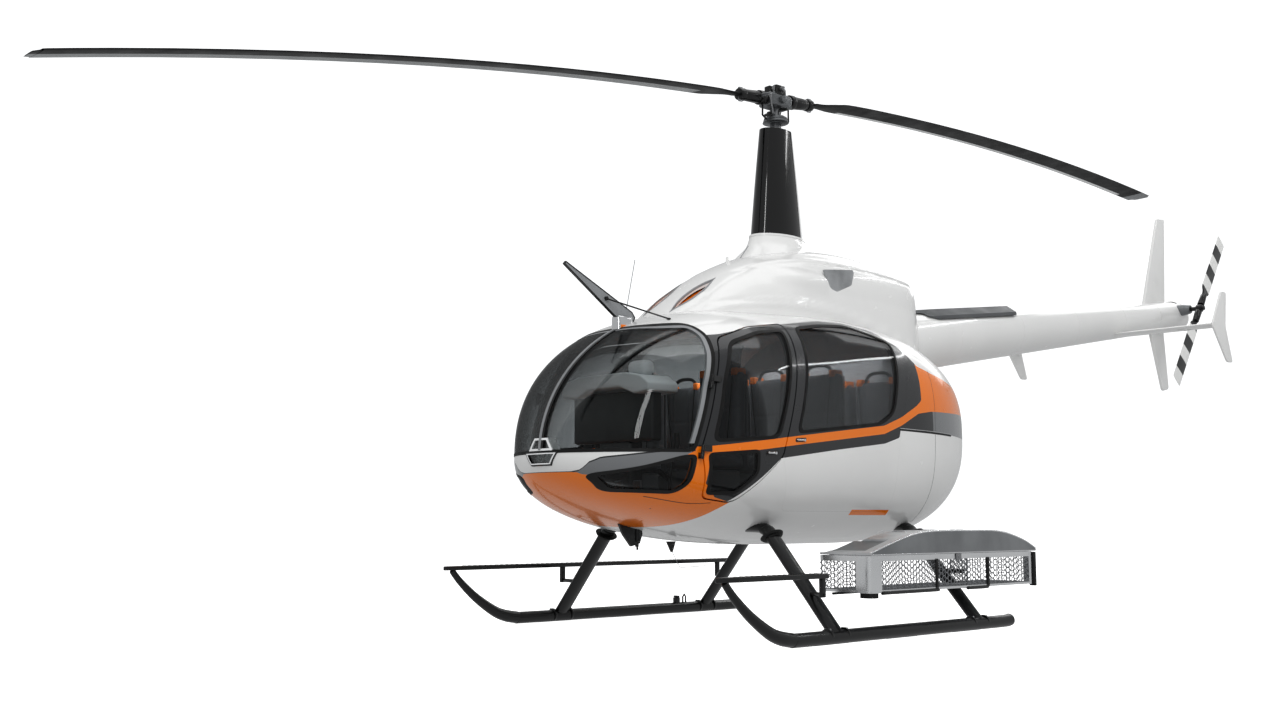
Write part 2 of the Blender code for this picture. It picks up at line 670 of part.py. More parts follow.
def wing_section(y0, y1, z, half, steps=7):
    """A simple aerofoil from a round leading edge at y0 to a thin trailing edge at y1."""
    upper, lower = [], []
    for k in range(steps + 1):
        t = k / steps
        thick = half * 2.6 * (math.sqrt(t) * (1 - t) + 0.02 * t)
        upper.append((y0 + (y1 - y0) * t, z + thick + 0.0015))
        lower.append((y0 + (y1 - y0) * t, z - thick - 0.0015))
    return upper + lower[::-1]


def build_tail():
    link_mesh("fin", side_prism("fin", FIN, -FIN_HALF, FIN_HALF), WHITE)
    y0, y1 = STABILISER_Y
    section = [(y0, STABILISER_Z), (y0 + 0.03, STABILISER_Z + STABILISER_HALF),
               (y0 + 0.12, STABILISER_Z + STABILISER_HALF), (y1, STABILISER_Z + 0.005),
               (y1, STABILISER_Z - 0.005), (y0 + 0.12, STABILISER_Z - STABILISER_HALF),
               (y0 + 0.03, STABILISER_Z - STABILISER_HALF)]
    link_mesh("stabiliser", side_prism("stabiliser", section, -STABILISER_TIP, STABILISER_TIP), WHITE)
    for word, side in (("left", 1), ("right", -1)):
        xs = sorted((side * (STABILISER_TIP + FIT), side * (STABILISER_TIP + FIT + 2 * ENDPLATE_HALF)))
        link_mesh("endplate_" + word, side_prism("endplate_" + word, ENDPLATE, *xs), WHITE)


def spin_direction(degrees):
    """A direction in the tail rotor's plane, measured from aft towards up."""
    angle = math.radians(degrees)
    return Vector((0.0, math.cos(angle), math.sin(angle)))


def build_tail_rotor(boom_solid):
    x, y, z = TAIL_HUB
    box = cone_mesh("tail_gearbox", (0.10, y, z), (0.262, y, z), 0.062, 0.045, 20)
    gearbox = link_mesh("tail_gearbox", box, STEEL)
    boolean(gearbox, boom_solid, "DIFFERENCE")
    pivot = make_pivot("tail_rotor_axis", TAIL_HUB, MAST)
    shaft = cone_mesh("tail_hub", (0.262 + FIT, y, z), (x + 0.055, y, z), 0.024, sides=16)
    arm = spin_direction(TAIL_BLADES[0][1])
    grips = cone_mesh("tail_grips", TAIL_HUB - arm * 0.20, TAIL_HUB + arm * 0.20, 0.034, sides=12)
    join_into("tail_hub", [shaft, grips], BLACK, pivot)
    for name, degrees in TAIL_BLADES:
        out = spin_direction(degrees)
        ahead = Vector((0, -out.z, out.y))
        rings = []
        for r in (0.2004, 0.27, TAIL_RADIUS):
            half_chord = TAIL_CHORD / 2 if r > 0.25 else 0.035
            half_thick = 0.010 if r > 0.25 else 0.022
            middle = TAIL_HUB + out * r
            rings.append([middle + ahead * (half_chord * math.cos(a)) + Vector((half_thick * math.sin(a), 0, 0))
                          for a in (math.tau * k / 14 for k in range(14))])
        link_mesh(name, loft_mesh(name, rings), WHITE, pivot)


def blade_point(azimuth, slope, droop, r):
    angle = math.radians(azimuth)
    return Vector((r * math.sin(angle), r * math.cos(angle), HUB_Z + slope * r + droop * r * r))


def build_main_rotor():
    pivot = make_pivot("main_rotor_axis", (0.0, 0.0, HUB_Z), MAST)
    tube = cone_mesh("rotor_mast", (0, 0, MAST_FOOT_Z), (0, 0, HUB_Z - 0.07), MAST_RADIUS, sides=24)
    plate = cone_mesh("swashplate", (0, 0, SWASHPLATE_Z - 0.025), (0, 0, SWASHPLATE_Z + 0.015), 0.105, sides=24)
    join_into("rotor_mast", [tube, plate], STEEL, pivot)
    front_azimuth = MAIN_BLADES[0][1]
    block = box_mesh("hub_block", (-0.075, -0.12, -0.069), (0.075, 0.12, 0.055))
    turn = Matrix.Rotation(math.radians(-(front_azimuth - 180)), 4, "Z")
    block.transform(Matrix.Translation((0, 0, HUB_Z)) @ turn)
    pieces = [block]
    for name, azimuth, blade_slope, droop, _ in MAIN_BLADES:
        root = blade_point(azimuth, blade_slope, droop, 0.05)
        tip = blade_point(azimuth, blade_slope, droop, BLADE_ROOT - GRIP_FIT)
        pieces.append(cone_mesh(name + "_grip", root, tip, 0.052, 0.044, 16))
        out = (tip - root).normalized()
        ahead = Vector((0, 0, 1)).cross(out).normalized()
        knee = blade_point(azimuth, blade_slope, droop, 0.20)
        horn = knee + ahead * 0.13
        pieces.append(cone_mesh(name + "_horn", knee, horn, 0.016, sides=10))
        foot = Vector((horn.x, horn.y, 0)).normalized() * 0.085
        foot.z = SWASHPLATE_Z + 0.0232
        pieces.append(cone_mesh(name + "_link", horn, foot, 0.010, sides=10))
    join_into("rotor_hub", pieces, STEEL, pivot)
    for name, azimuth, blade_slope, droop, pitch in MAIN_BLADES:
        rings = []
        stations = (BLADE_ROOT, 0.58, 0.80, 1.5, 2.3, 3.1, 3.9, 4.7, ROTOR_RADIUS - 0.10, ROTOR_RADIUS)
        for r in stations:
            centre = blade_point(azimuth, blade_slope, droop, r)
            out = Vector((math.sin(math.radians(azimuth)), math.cos(math.radians(azimuth)), 0))
            ahead = Vector((0, 0, 1)).cross(out)
            span = (out + Vector((0, 0, blade_slope + 2 * droop * r))).normalized()
            feather = Matrix.Rotation(pitch, 3, span)
            up = feather @ span.cross(ahead)
            nose = feather @ ahead
            chord = BLADE_CHORD if r > 0.7 else 0.10 if r < 0.5 else 0.16
            thick = BLADE_THICKNESS if r > 0.7 else 0.05
            if r == ROTOR_RADIUS:
                chord, thick = BLADE_CHORD * 0.86, BLADE_THICKNESS * 0.6
            ring = []
            for t, h in wing_section(0.0, 1.0, 0.0, 0.5):
                ring.append(centre + nose * (chord * (0.30 - t)) + up * (h * thick))
            rings.append(ring)
        link_mesh(name, loft_mesh(name, rings), BLACK, pivot)


def sweep_mesh(name, path, half_y, half_t, sides=16):
    """A tube along a path in an XZ plane, with an oval section."""
    rings = []
    for i, point in enumerate(path):
        ahead = path[min(i + 1, len(path) - 1)] - path[max(i - 1, 0)]
        normal = Vector((-ahead.z, 0, ahead.x)).normalized()
        rings.append([point + Vector((0, half_y * math.cos(a), 0)) + normal * (half_t * math.sin(a))
                      for a in (math.tau * k / sides for k in range(sides))])
    return loft_mesh(name, rings)


def leg_path(y):
    """From one skid, through the belly and down to the other."""
    half = [Vector((LEG_FOOT_X, y, LEG_FOOT_Z)), Vector((BOOT_X, y, BOOT_Z)), Vector((BOOT_X - 0.05, y, 0.748)),
            Vector((BOOT_X - 0.12, y, CROSS_BAR_Z))]
    return half + [Vector((-p.x, p.y, p.z)) for p in reversed(half)]


SKID_PATH = ((-2.080, 0.416), (-2.02, 0.362), (-1.884, 0.248), (-1.725, 0.148), (-1.62, 0.105),
             (-1.50, 0.083), (-1.40, SKID_Z), (0.92, SKID_Z), (1.0, 0.105))


def build_gear(belly, aft):
    legs = []
    for word, y, holder in (("front", LEG_FRONT_Y, belly), ("rear", LEG_REAR_Y, aft)):
        name = "cross_tube_" + word
        leg = link_mesh(name, sweep_mesh(name, leg_path(y), LEG_HALF_Y, LEG_HALF_T), BLACK)
        for side in (1, -1):
            saddle = cone_mesh(f"saddle_{word}_{side}", (side * SKID_X, y - 0.3, SKID_Z),
                               (side * SKID_X, y + 0.3, SKID_Z), SKID_RADIUS + 0.0008, sides=24)
            boolean(leg, link_cutter(saddle.name, saddle), "DIFFERENCE")
        space = sweep_mesh(name + "_space", leg_path(y), LEG_HALF_Y + FIT, LEG_HALF_T + FIT)
        boolean(holder, link_cutter(name + "_space", space), "DIFFERENCE")
        legs.append(bpy.data.objects[name + "_space"])
    for word, side in (("left", 1), ("right", -1)):
        tube_curve("skid_" + word, [(side * SKID_X, y, z) for y, z in SKID_PATH], SKID_RADIUS, BLACK)
    return legs


def tube_curve(name, points, radius, mat, pivot=None, resolution=3):
    """A round tube through points, as one mesh with closed ends."""
    curve = bpy.data.curves.new(name, "CURVE")
    curve.dimensions = "3D"
    curve.bevel_depth = radius
    curve.bevel_resolution = resolution
    curve.use_fill_caps = True
    line = curve.splines.new("POLY")
    line.points.add(len(points) - 1)
    for point, place in zip(line.points, points):
        point.co = (*place, 1.0)
    obj = bpy.data.objects.new(name, curve)
    PARTS.objects.link(obj)
    obj.parent = pivot or MAST
    curve.materials.append(mat)
    return obj


STEP_HALF = 0.045
STEP_Z = 0.4495
STEP_THICK = 0.032
STEP_FRONT_Y = -2.17
BRACKET_Z = 0.345
# side word, side, the board's after end, (bracket Y, leg Y) for each bracket
STEPS = (("left", 1, -1.17, ((-1.19, LEG_FRONT_Y),)),
         ("right", -1, 0.93, ((-1.04, LEG_FRONT_Y), (0.73, LEG_REAR_Y))))


def leg_x(z):
    """How far from the centre a leg's axis is at a height."""
    t = (z - BOOT_Z) / (LEG_FOOT_Z - BOOT_Z)
    return BOOT_X + (LEG_FOOT_X - BOOT_X) * t


def build_steps(legs):
    """Boards above the skids, carried by the skid's toe and by a bracket from each leg."""
    for word, side, aft_y, brackets in STEPS:
        x = side * SKID_X
        name = "step_" + word
        pieces = [box_mesh(name, (x - STEP_HALF, STEP_FRONT_Y, STEP_Z), (x + STEP_HALF, aft_y, STEP_Z + STEP_THICK))]
        for bar_y, leg_y in brackets:
            pieces.append(box_mesh(f"{name}_bar_{bar_y}", (x - 0.014, bar_y - 0.020, BRACKET_Z - 0.014),
                                   (x + 0.014, bar_y + 0.020, STEP_Z + 0.004)))
            pieces.append(cone_mesh(f"{name}_link_{bar_y}", (x, bar_y, BRACKET_Z),
                                    (side * leg_x(BRACKET_Z), leg_y, BRACKET_Z), 0.014, sides=12))
        step = join_into(name, pieces, BLACK)
        for space in legs:
            boolean(step, space, "DIFFERENCE")


LID_BARREL = 0.007      # radius of the lid's hinge barrels


def build_basket(legs):
    """A floor plate between three outer walls in one bend and the inboard wall that steps round the leg."""
    x0, x1, y0, y1 = BASKET_X0, BASKET_X1, BASKET_Y0, BASKET_Y1
    notch0, notch1, notch_x = LEG_REAR_Y - 0.090, LEG_REAR_Y + 0.090, 1.235
    wall, foot = BASKET_WALL, BASKET_Z0
    edge = wall + FIT
    plan = [(x0 + edge, y0 + edge), (x1 - edge, y0 + edge), (x1 - edge, y1 - edge), (x0 + edge, y1 - edge),
            (x0 + edge, notch1 + edge), (notch_x + edge, notch1 + edge), (notch_x + edge, notch0 - edge),
            (x0 + edge, notch0 - edge)]
    link_mesh("basket", plan_prism("basket", plan, BASKET_Z0, BASKET_Z0 + wall), BRUSHED)
    bend = [(x0, y0), (x1, y0), (x1, y1), (x0, y1), (x0, y1 - wall), (x1 - wall, y1 - wall),
            (x1 - wall, y0 + wall), (x0, y0 + wall)]
    link_mesh("basket_outer_walls", plan_prism("basket_outer_walls", bend, foot, BASKET_RIM), BRUSHED)
    ahead, behind = y0 + wall + FIT, y1 - wall - FIT
    steps = [(x0, ahead), (x0, notch0), (notch_x, notch0), (notch_x, notch1), (x0, notch1), (x0, behind),
             (x0 + wall, behind), (x0 + wall, notch1 + wall), (notch_x + wall, notch1 + wall),
             (notch_x + wall, notch0 - wall), (x0 + wall, notch0 - wall), (x0 + wall, ahead)]
    inner = link_mesh("basket_inner_wall", plan_prism("basket_inner_wall", steps, foot, BASKET_RIM), BRUSHED)
    front_arm = box_mesh("basket_arm_front", (1.065, LEG_FRONT_Y + 0.007, 0.43), (1.115, y0 + 0.005, 0.46))
    boolean(bpy.data.objects["basket_outer_walls"], link_cutter("basket_arm_front", front_arm), "UNION")
    rear_arm = box_mesh("basket_arm_rear", (x0, LEG_REAR_Y - 0.025, 0.43), (notch_x + 0.005, LEG_REAR_Y + 0.025, 0.46))
    boolean(inner, link_cutter("basket_arm_rear", rear_arm), "UNION")
    for side_y in (y0 + 0.12, y1 - 0.12):
        ear = cone_mesh(f"lid_hinge_barrel_{side_y:.2f}", (LID_HINGE.x, side_y, LID_HINGE.z),
                        (LID_HINGE.x, side_y + 0.05, LID_HINGE.z), LID_BARREL, sides=14)
        leaf = box_mesh(f"lid_hinge_leaf_{side_y:.2f}", (LID_HINGE.x - 0.006, side_y + 0.003, BASKET_RIM - 0.02),
                        (LID_HINGE.x + 0.001, side_y + 0.047, LID_HINGE.z))
        for mesh in (ear, leaf):
            boolean(inner, link_cutter(mesh.name, mesh), "UNION")
    for piece in (inner, bpy.data.objects["basket_outer_walls"]):
        for space in legs:
            boolean(piece, space, "DIFFERENCE")


# Lid stations: Y, crest Z
LID = ((-0.885, 0.605), (-0.70, 0.655), (-0.45, 0.715), (-0.20, 0.742), (0.25, 0.745),
       (0.65, 0.737), (0.95, 0.68), (1.135, 0.612))


def build_basket_lid():
    pivot = make_pivot("basket_lid_axis", LID_HINGE, MAST)
    x0, x1 = BASKET_X0 + 0.034, BASKET_X1 + 0.012
    bottom = BASKET_RIM + 0.006

    def ring(y, crest, inset):
        low = bottom - (0.1 if inset else 0.0)
        return [(x0 + inset, y, low), (x1 - inset, y, low), (x1 - inset, y, bottom + 0.014),
                (x1 - 0.10, y, max(crest - inset, bottom + 0.015)),
                (x0 + 0.10, y, max(crest - inset, bottom + 0.015)),
                (x0 + inset, y, bottom + 0.014)]

    lid = link_mesh("basket_lid", loft_mesh("basket_lid", [ring(y, z, 0.0) for y, z in LID]), BRUSHED, pivot)
    inner = [ring(y + (0.015 if k == 0 else -0.015 if k == len(LID) - 1 else 0), z, 0.010)
             for k, (y, z) in enumerate(LID)]
    boolean(lid, link_cutter("lid_inside", loft_mesh("lid_inside", inner)), "DIFFERENCE")
    for side_y in (BASKET_Y0 + 0.12, BASKET_Y1 - 0.12):
        barrel = cone_mesh(f"lid_barrel_{side_y:.2f}", (LID_HINGE.x, side_y + 0.0504, LID_HINGE.z),
                           (LID_HINGE.x, side_y + 0.10, LID_HINGE.z), LID_BARREL, sides=14)
        leaf = box_mesh(f"lid_leaf_{side_y:.2f}", (LID_HINGE.x, side_y + 0.053, LID_HINGE.z - 0.003),
                        (x0 + 0.006, side_y + 0.097, LID_HINGE.z + 0.003))
        for mesh in (barrel, leaf):
            boolean(lid, link_cutter(mesh.name, mesh), "UNION")


def build_fittings():
    blade = [(-1.585, 2.16), (-1.545, 2.28), (-1.62, 2.29), (-2.185, 2.545), (-2.20, 2.525), (-1.69, 2.14)]
    cutter = link_mesh("wire_cutter_upper", side_prism("wire_cutter_upper", blade, -0.010, 0.010), STEEL)
    boolean(cutter, POD_SOLID, "DIFFERENCE")
    blade = [(-1.80, 0.88), (-1.50, 0.83), (-1.54, 0.60), (-1.62, 0.60), (-1.82, 0.70)]
    cutter = link_mesh("wire_cutter_lower", side_prism("wire_cutter_lower", blade, -0.010, 0.010), BLACK)
    boolean(cutter, POD_SOLID, "DIFFERENCE")


# Lamp housing in the nose: half a hexagon, as (X, Z)
LAMP = ((-0.165, BELT_Z - FIT), (-0.100, 1.165), (0.100, 1.165), (0.165, BELT_Z - FIT))
LAMP_PROUD = 0.006
LAMP_INNER_Y = -2.27


def lamp_prism(name, growth):
    """The housing's outline run back into the nose; its top stays at the belt."""
    (left, top), (low_left, low), (low_right, _), (right, _) = LAMP
    outline = [(left - growth, top), (low_left - growth, low - growth),
               (low_right + growth, low - growth), (right + growth, top)]
    return loft_mesh(name, [[(x, y, z) for x, z in outline] for y in (-2.75, LAMP_INNER_Y + growth)])


def build_lamp(nose):
    lamp = link_mesh("nose_lamp", lamp_prism("nose_lamp", 0.0), BLACK)
    boolean(lamp, link_cutter("lamp_face", pod_mesh("lamp_face", -LAMP_PROUD)), "INTERSECT")
    boolean(nose, link_cutter("lamp_space", lamp_prism("lamp_space", FIT)), "DIFFERENCE")


def build_exhaust():
    """A short pipe through the cowling's after face, above the boom."""
    start, end = EXHAUST
    along = (end - start).normalized()
    pipe = link_mesh("exhaust_pipe", cone_mesh("exhaust_pipe", start, end, EXHAUST_RADIUS, sides=20), STEEL)
    bore = cone_mesh("exhaust_bore", start + along * 0.03, end + along * 0.05, EXHAUST_RADIUS - 0.008, sides=20)
    boolean(pipe, link_cutter("exhaust_bore", bore), "DIFFERENCE")
    space = cone_mesh("exhaust_space", start, end + along * 0.05, EXHAUST_RADIUS + FIT, sides=20)
    boolean(bpy.data.objects["cowling"], link_cutter("exhaust_space", space), "DIFFERENCE")


def main():
    boom_solid = link_cutter("boom_solid", boom_solid_mesh("boom_solid", FIT))
    nose, belly, roof, aft = build_fixed_shell()
    build_glass()
    build_rear_doors()
    build_front_doors(roof, nose)
    build_interior()
    build_cowling(boom_solid)
    build_mast_fairing()
    build_gearbox()
    build_boom(boom_solid)
    build_tail()
    build_tail_rotor(boom_solid)
    build_main_rotor()
    legs = build_gear(belly, aft)
    build_steps(legs)
    build_basket(legs)
    build_basket_lid()
    build_fittings()
    build_lamp(nose)
    build_exhaust()


main()
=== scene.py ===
"""Looks of a light single-turbine helicopter on skids, with a cargo basket on its port side.

All sizes are metres. They are laid out in the mast's frame, where the mast's axis is X = Y = 0,
the nose points to -Y and the port side is +X, and each finished mesh is moved to the row's frame.
"""

import logging
import math
from dataclasses import dataclass, field
from enum import Enum
from typing import Any, Callable, Optional, Sequence, Union

import bmesh
import bpy
from mathutils import Matrix, Vector


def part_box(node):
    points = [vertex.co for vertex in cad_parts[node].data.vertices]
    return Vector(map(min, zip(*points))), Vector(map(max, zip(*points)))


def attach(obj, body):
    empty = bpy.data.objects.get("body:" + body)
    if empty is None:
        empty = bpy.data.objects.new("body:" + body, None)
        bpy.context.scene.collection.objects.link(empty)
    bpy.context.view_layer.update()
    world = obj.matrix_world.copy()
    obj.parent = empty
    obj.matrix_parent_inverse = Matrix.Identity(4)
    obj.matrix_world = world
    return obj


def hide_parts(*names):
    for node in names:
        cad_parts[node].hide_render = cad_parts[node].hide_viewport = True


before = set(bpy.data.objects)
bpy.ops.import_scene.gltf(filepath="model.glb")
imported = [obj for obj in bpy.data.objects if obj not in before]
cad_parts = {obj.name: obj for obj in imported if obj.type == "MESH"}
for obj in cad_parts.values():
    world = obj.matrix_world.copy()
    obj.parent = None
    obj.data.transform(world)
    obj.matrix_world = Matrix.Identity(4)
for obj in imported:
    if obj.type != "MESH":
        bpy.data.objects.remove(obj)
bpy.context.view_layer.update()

LOG = logging.getLogger("helicopter")
Mesh = bpy.types.Mesh
Tree = bpy.types.NodeTree
Socket = bpy.types.NodeSocket
BMesh = bmesh.types.BMesh
Edge = bmesh.types.BMEdge
Two = tuple[float, float]
Three = tuple[float, float, float]
Four = tuple[float, float, float, float]
Outline = Sequence[Sequence[float]]
# A blade's name, its azimuth in degrees, the slope and the droop of its line, and its pitch in radians
BladeRow = tuple[str, float, float, float, float]
# A blade's middle, its way forward and its way up, at a radius
FrameAt = Callable[[float], tuple[Vector, Vector, Vector]]
AIRFRAME = "airframe"
MAST_FOOT_Z = 2.62
HUB_Z = 4.14
# The gap left between two pieces that would touch
FIT = 0.0004
# Levels just beyond both sides of the cabin
THROUGH = (-1.3, 1.3)
# Material slots of a carved mesh: the outer face, the inner face and the cut edges
SLOTS = 3
# The longest mitre at an outline's corner, and the share of a side that a rounded corner may take
MITRE, CORNER_SHARE = 0.3, 0.45
# Bars thinner than this keep sharp ends; the others' ends are rounded by this share of the radius
THIN_BAR, END_SHARE = 0.004, 0.18
# What a boolean does with its tool
CUT, KEEP, ADD = "DIFFERENCE", "INTERSECT", "UNION"
# How the CAD nodes that stay are welded, in metres, and where their edges stay crisp, in degrees
WELD_REACH = 0.00002
CRISP_ANGLE = 32


def mast_offset() -> Vector:
    """Where the mast's frame lies in the row's frame, read from the mast's own CAD box.

    Returns:
        The move from the drawing's frame to the row's.
    """
    low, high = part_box("rotor_mast")
    return Vector(((low.x + high.x) / 2, (low.y + high.y) / 2, low.z - MAST_FOOT_Z))


OFFSET = mast_offset()


# Colour and nodes


def linear(code: str) -> Four:
    """Turn an sRGB hex colour to linear light.

    Args:
        code: six hex digits.
    Returns:
        The colour as red, green, blue and alpha.
    """
    parts = [int(code[i:i + 2], 16) / 255 for i in (0, 2, 4)]
    red, green, blue = (c / 12.92 if c <= 0.04045 else ((c + 0.055) / 1.055) ** 2.4 for c in parts)
    return red, green, blue, 1.0


def link(obj: bpy.types.Object) -> None:
    """Put an object in the scene."""
    bpy.context.scene.collection.objects.link(obj)


def add_node(tree: Tree, kind: str, settings: Optional[dict[str, Any]] = None,
             links: Optional[dict[Union[str, int], Any]] = None) -> bpy.types.Node:
    """Add a node, set its properties, and set or link its inputs.

    Args:
        tree: the tree that takes the node.
        kind: the node's type name.
        settings: properties of the node itself.
        links: inputs by name or number, each a value or a socket to link.
    Returns:
        The new node.
    """
    node = tree.nodes.new(kind)
    for key, value in (settings or {}).items():
        setattr(node, key, value)
    for key, value in (links or {}).items():
        if isinstance(value, Socket):
            tree.links.new(value, node.inputs[key])
        else:
            node.inputs[key].default_value = value
    return node


def painted(tree: Tree, colour: Socket, code: str, tests: Sequence[tuple[str, Socket, Any]]) -> Socket:
    """Paint over a colour where every test holds.

    Args:
        tree: the material's tree.
        colour: the colour underneath.
        code: the paint's colour, as six hex digits.
        tests: comparisons, each an operation, a value and its limit.
    Returns:
        The colour's socket.
    """
    mask: Any = 1.0
    for operation, value, limit in tests:
        held = add_node(tree, "ShaderNodeMath", {"operation": operation}, {0: value, 1: limit})
        kept = add_node(tree, "ShaderNodeMath", {"operation": "MULTIPLY"}, {0: mask, 1: held.outputs[0]})
        mask = kept.outputs[0]
    mix = add_node(tree, "ShaderNodeMix", {"data_type": "RGBA"}, {"Factor": mask, 6: colour, 7: linear(code)})
    return mix.outputs[2]


def new_material(name: str) -> tuple[bpy.types.Material, Tree, bpy.types.Node]:
    """Make an empty node material.

    Args:
        name: the material's name.
    Returns:
        The material, its tree and its output node.
    """
    mat = bpy.data.materials.new(name)
    mat.use_nodes = True
    mat.node_tree.nodes.clear()
    return mat, mat.node_tree, mat.node_tree.nodes.new("ShaderNodeOutputMaterial")


class Grain(Enum):
    """How a surface was made, as the pattern that it leaves."""

    SPRAYED = "SPRAYED"
    BRUSHED = "BRUSHED"
    PEBBLED = "PEBBLED"
    CAST = "CAST"


@dataclass(frozen=True)
class Finish:
    """A real material: its colours, its gloss and the grain its making leaves."""

    name: str
    colour: str
    shade: str
    roughness: float
    grain: Grain = Grain.SPRAYED
    grain_mm: float = 3.0
    depth_mm: float = 0.02
    metallic: float = 0.0
    coat: float = 0.0
    stretch: Three = (1.0, 1.0, 1.0)
    wear: float = 0.25
    shine: float = 0.5

    def base(self, tree: Tree, place: Socket) -> Socket:
        """The colour, which drifts a little from clean to dull over the piece.

        Args:
            tree: the material's tree.
            place: the coordinates.
        Returns:
            A colour socket.
        """
        drift = add_node(tree, "ShaderNodeTexNoise", links={"Vector": place, "Scale": 1.7, "Detail": 5.0})
        amount = add_node(tree, "ShaderNodeMapRange", links={
            "Value": drift.outputs["Fac"], "From Min": 0.42, "From Max": 0.72, "To Max": self.wear})
        mix = add_node(tree, "ShaderNodeMix", {"data_type": "RGBA"},
                       {"Factor": amount.outputs[0], 6: linear(self.colour), 7: linear(self.shade)})
        return mix.outputs[2]

    def height(self, tree: Tree, place: Socket) -> Socket:
        """The grain's height from 0 to 1, at its real spacing.

        Args:
            tree: the material's tree.
            place: the coordinates.
        Returns:
            A value socket.
        """
        turned = add_node(tree, "ShaderNodeMapping", links={"Vector": place, "Scale": self.stretch})
        scale = 1000.0 / self.grain_mm
        if self.grain is Grain.PEBBLED:
            cells = add_node(tree, "ShaderNodeTexVoronoi", {"feature": "SMOOTH_F1"},
                             {"Vector": turned.outputs[0], "Scale": scale, "Smoothness": 0.6})
            return cells.outputs["Distance"]
        detail = {Grain.SPRAYED: 1.0, Grain.BRUSHED: 3.0, Grain.CAST: 6.0}[self.grain]
        return add_node(tree, "ShaderNodeTexNoise",
                        links={"Vector": turned.outputs[0], "Scale": scale, "Detail": detail}).outputs["Fac"]

    def shader(self, tree: Tree, place: Socket, colour: Socket) -> bpy.types.Node:
        """The Principled shader with this finish's gloss and grain.

        Args:
            tree: the material's tree.
            place: the coordinates.
            colour: the base colour.
        Returns:
            The shader node.
        """
        height = self.height(tree, place)
        bump = add_node(tree, "ShaderNodeBump", links={
            "Height": height, "Strength": 0.6, "Distance": self.depth_mm / 1000})
        smear = add_node(tree, "ShaderNodeTexNoise", links={"Vector": place, "Scale": 6.0, "Detail": 4.0})
        gloss = add_node(tree, "ShaderNodeMapRange", links={
            "Value": smear.outputs["Fac"], "From Min": 0.3, "From Max": 0.7,
            "To Min": self.roughness * 0.85, "To Max": min(1.0, self.roughness * 1.25)})
        return add_node(tree, "ShaderNodeBsdfPrincipled", links={
            "Base Color": colour, "Roughness": gloss.outputs[0], "Normal": bump.outputs[0],
            "Metallic": self.metallic, "Coat Weight": self.coat, "Coat Roughness": 0.04,
            "Specular IOR Level": self.shine})

    def build(self) -> bpy.types.Material:
        """Make the material.

        Returns:
            The finished material.
        """
        mat, tree, out = new_material(self.name)
        place = add_node(tree, "ShaderNodeTexCoord").outputs["Object"]
        shader = self.shader(tree, place, self.base(tree, place))
        tree.links.new(shader.outputs[0], out.inputs["Surface"])
        return mat


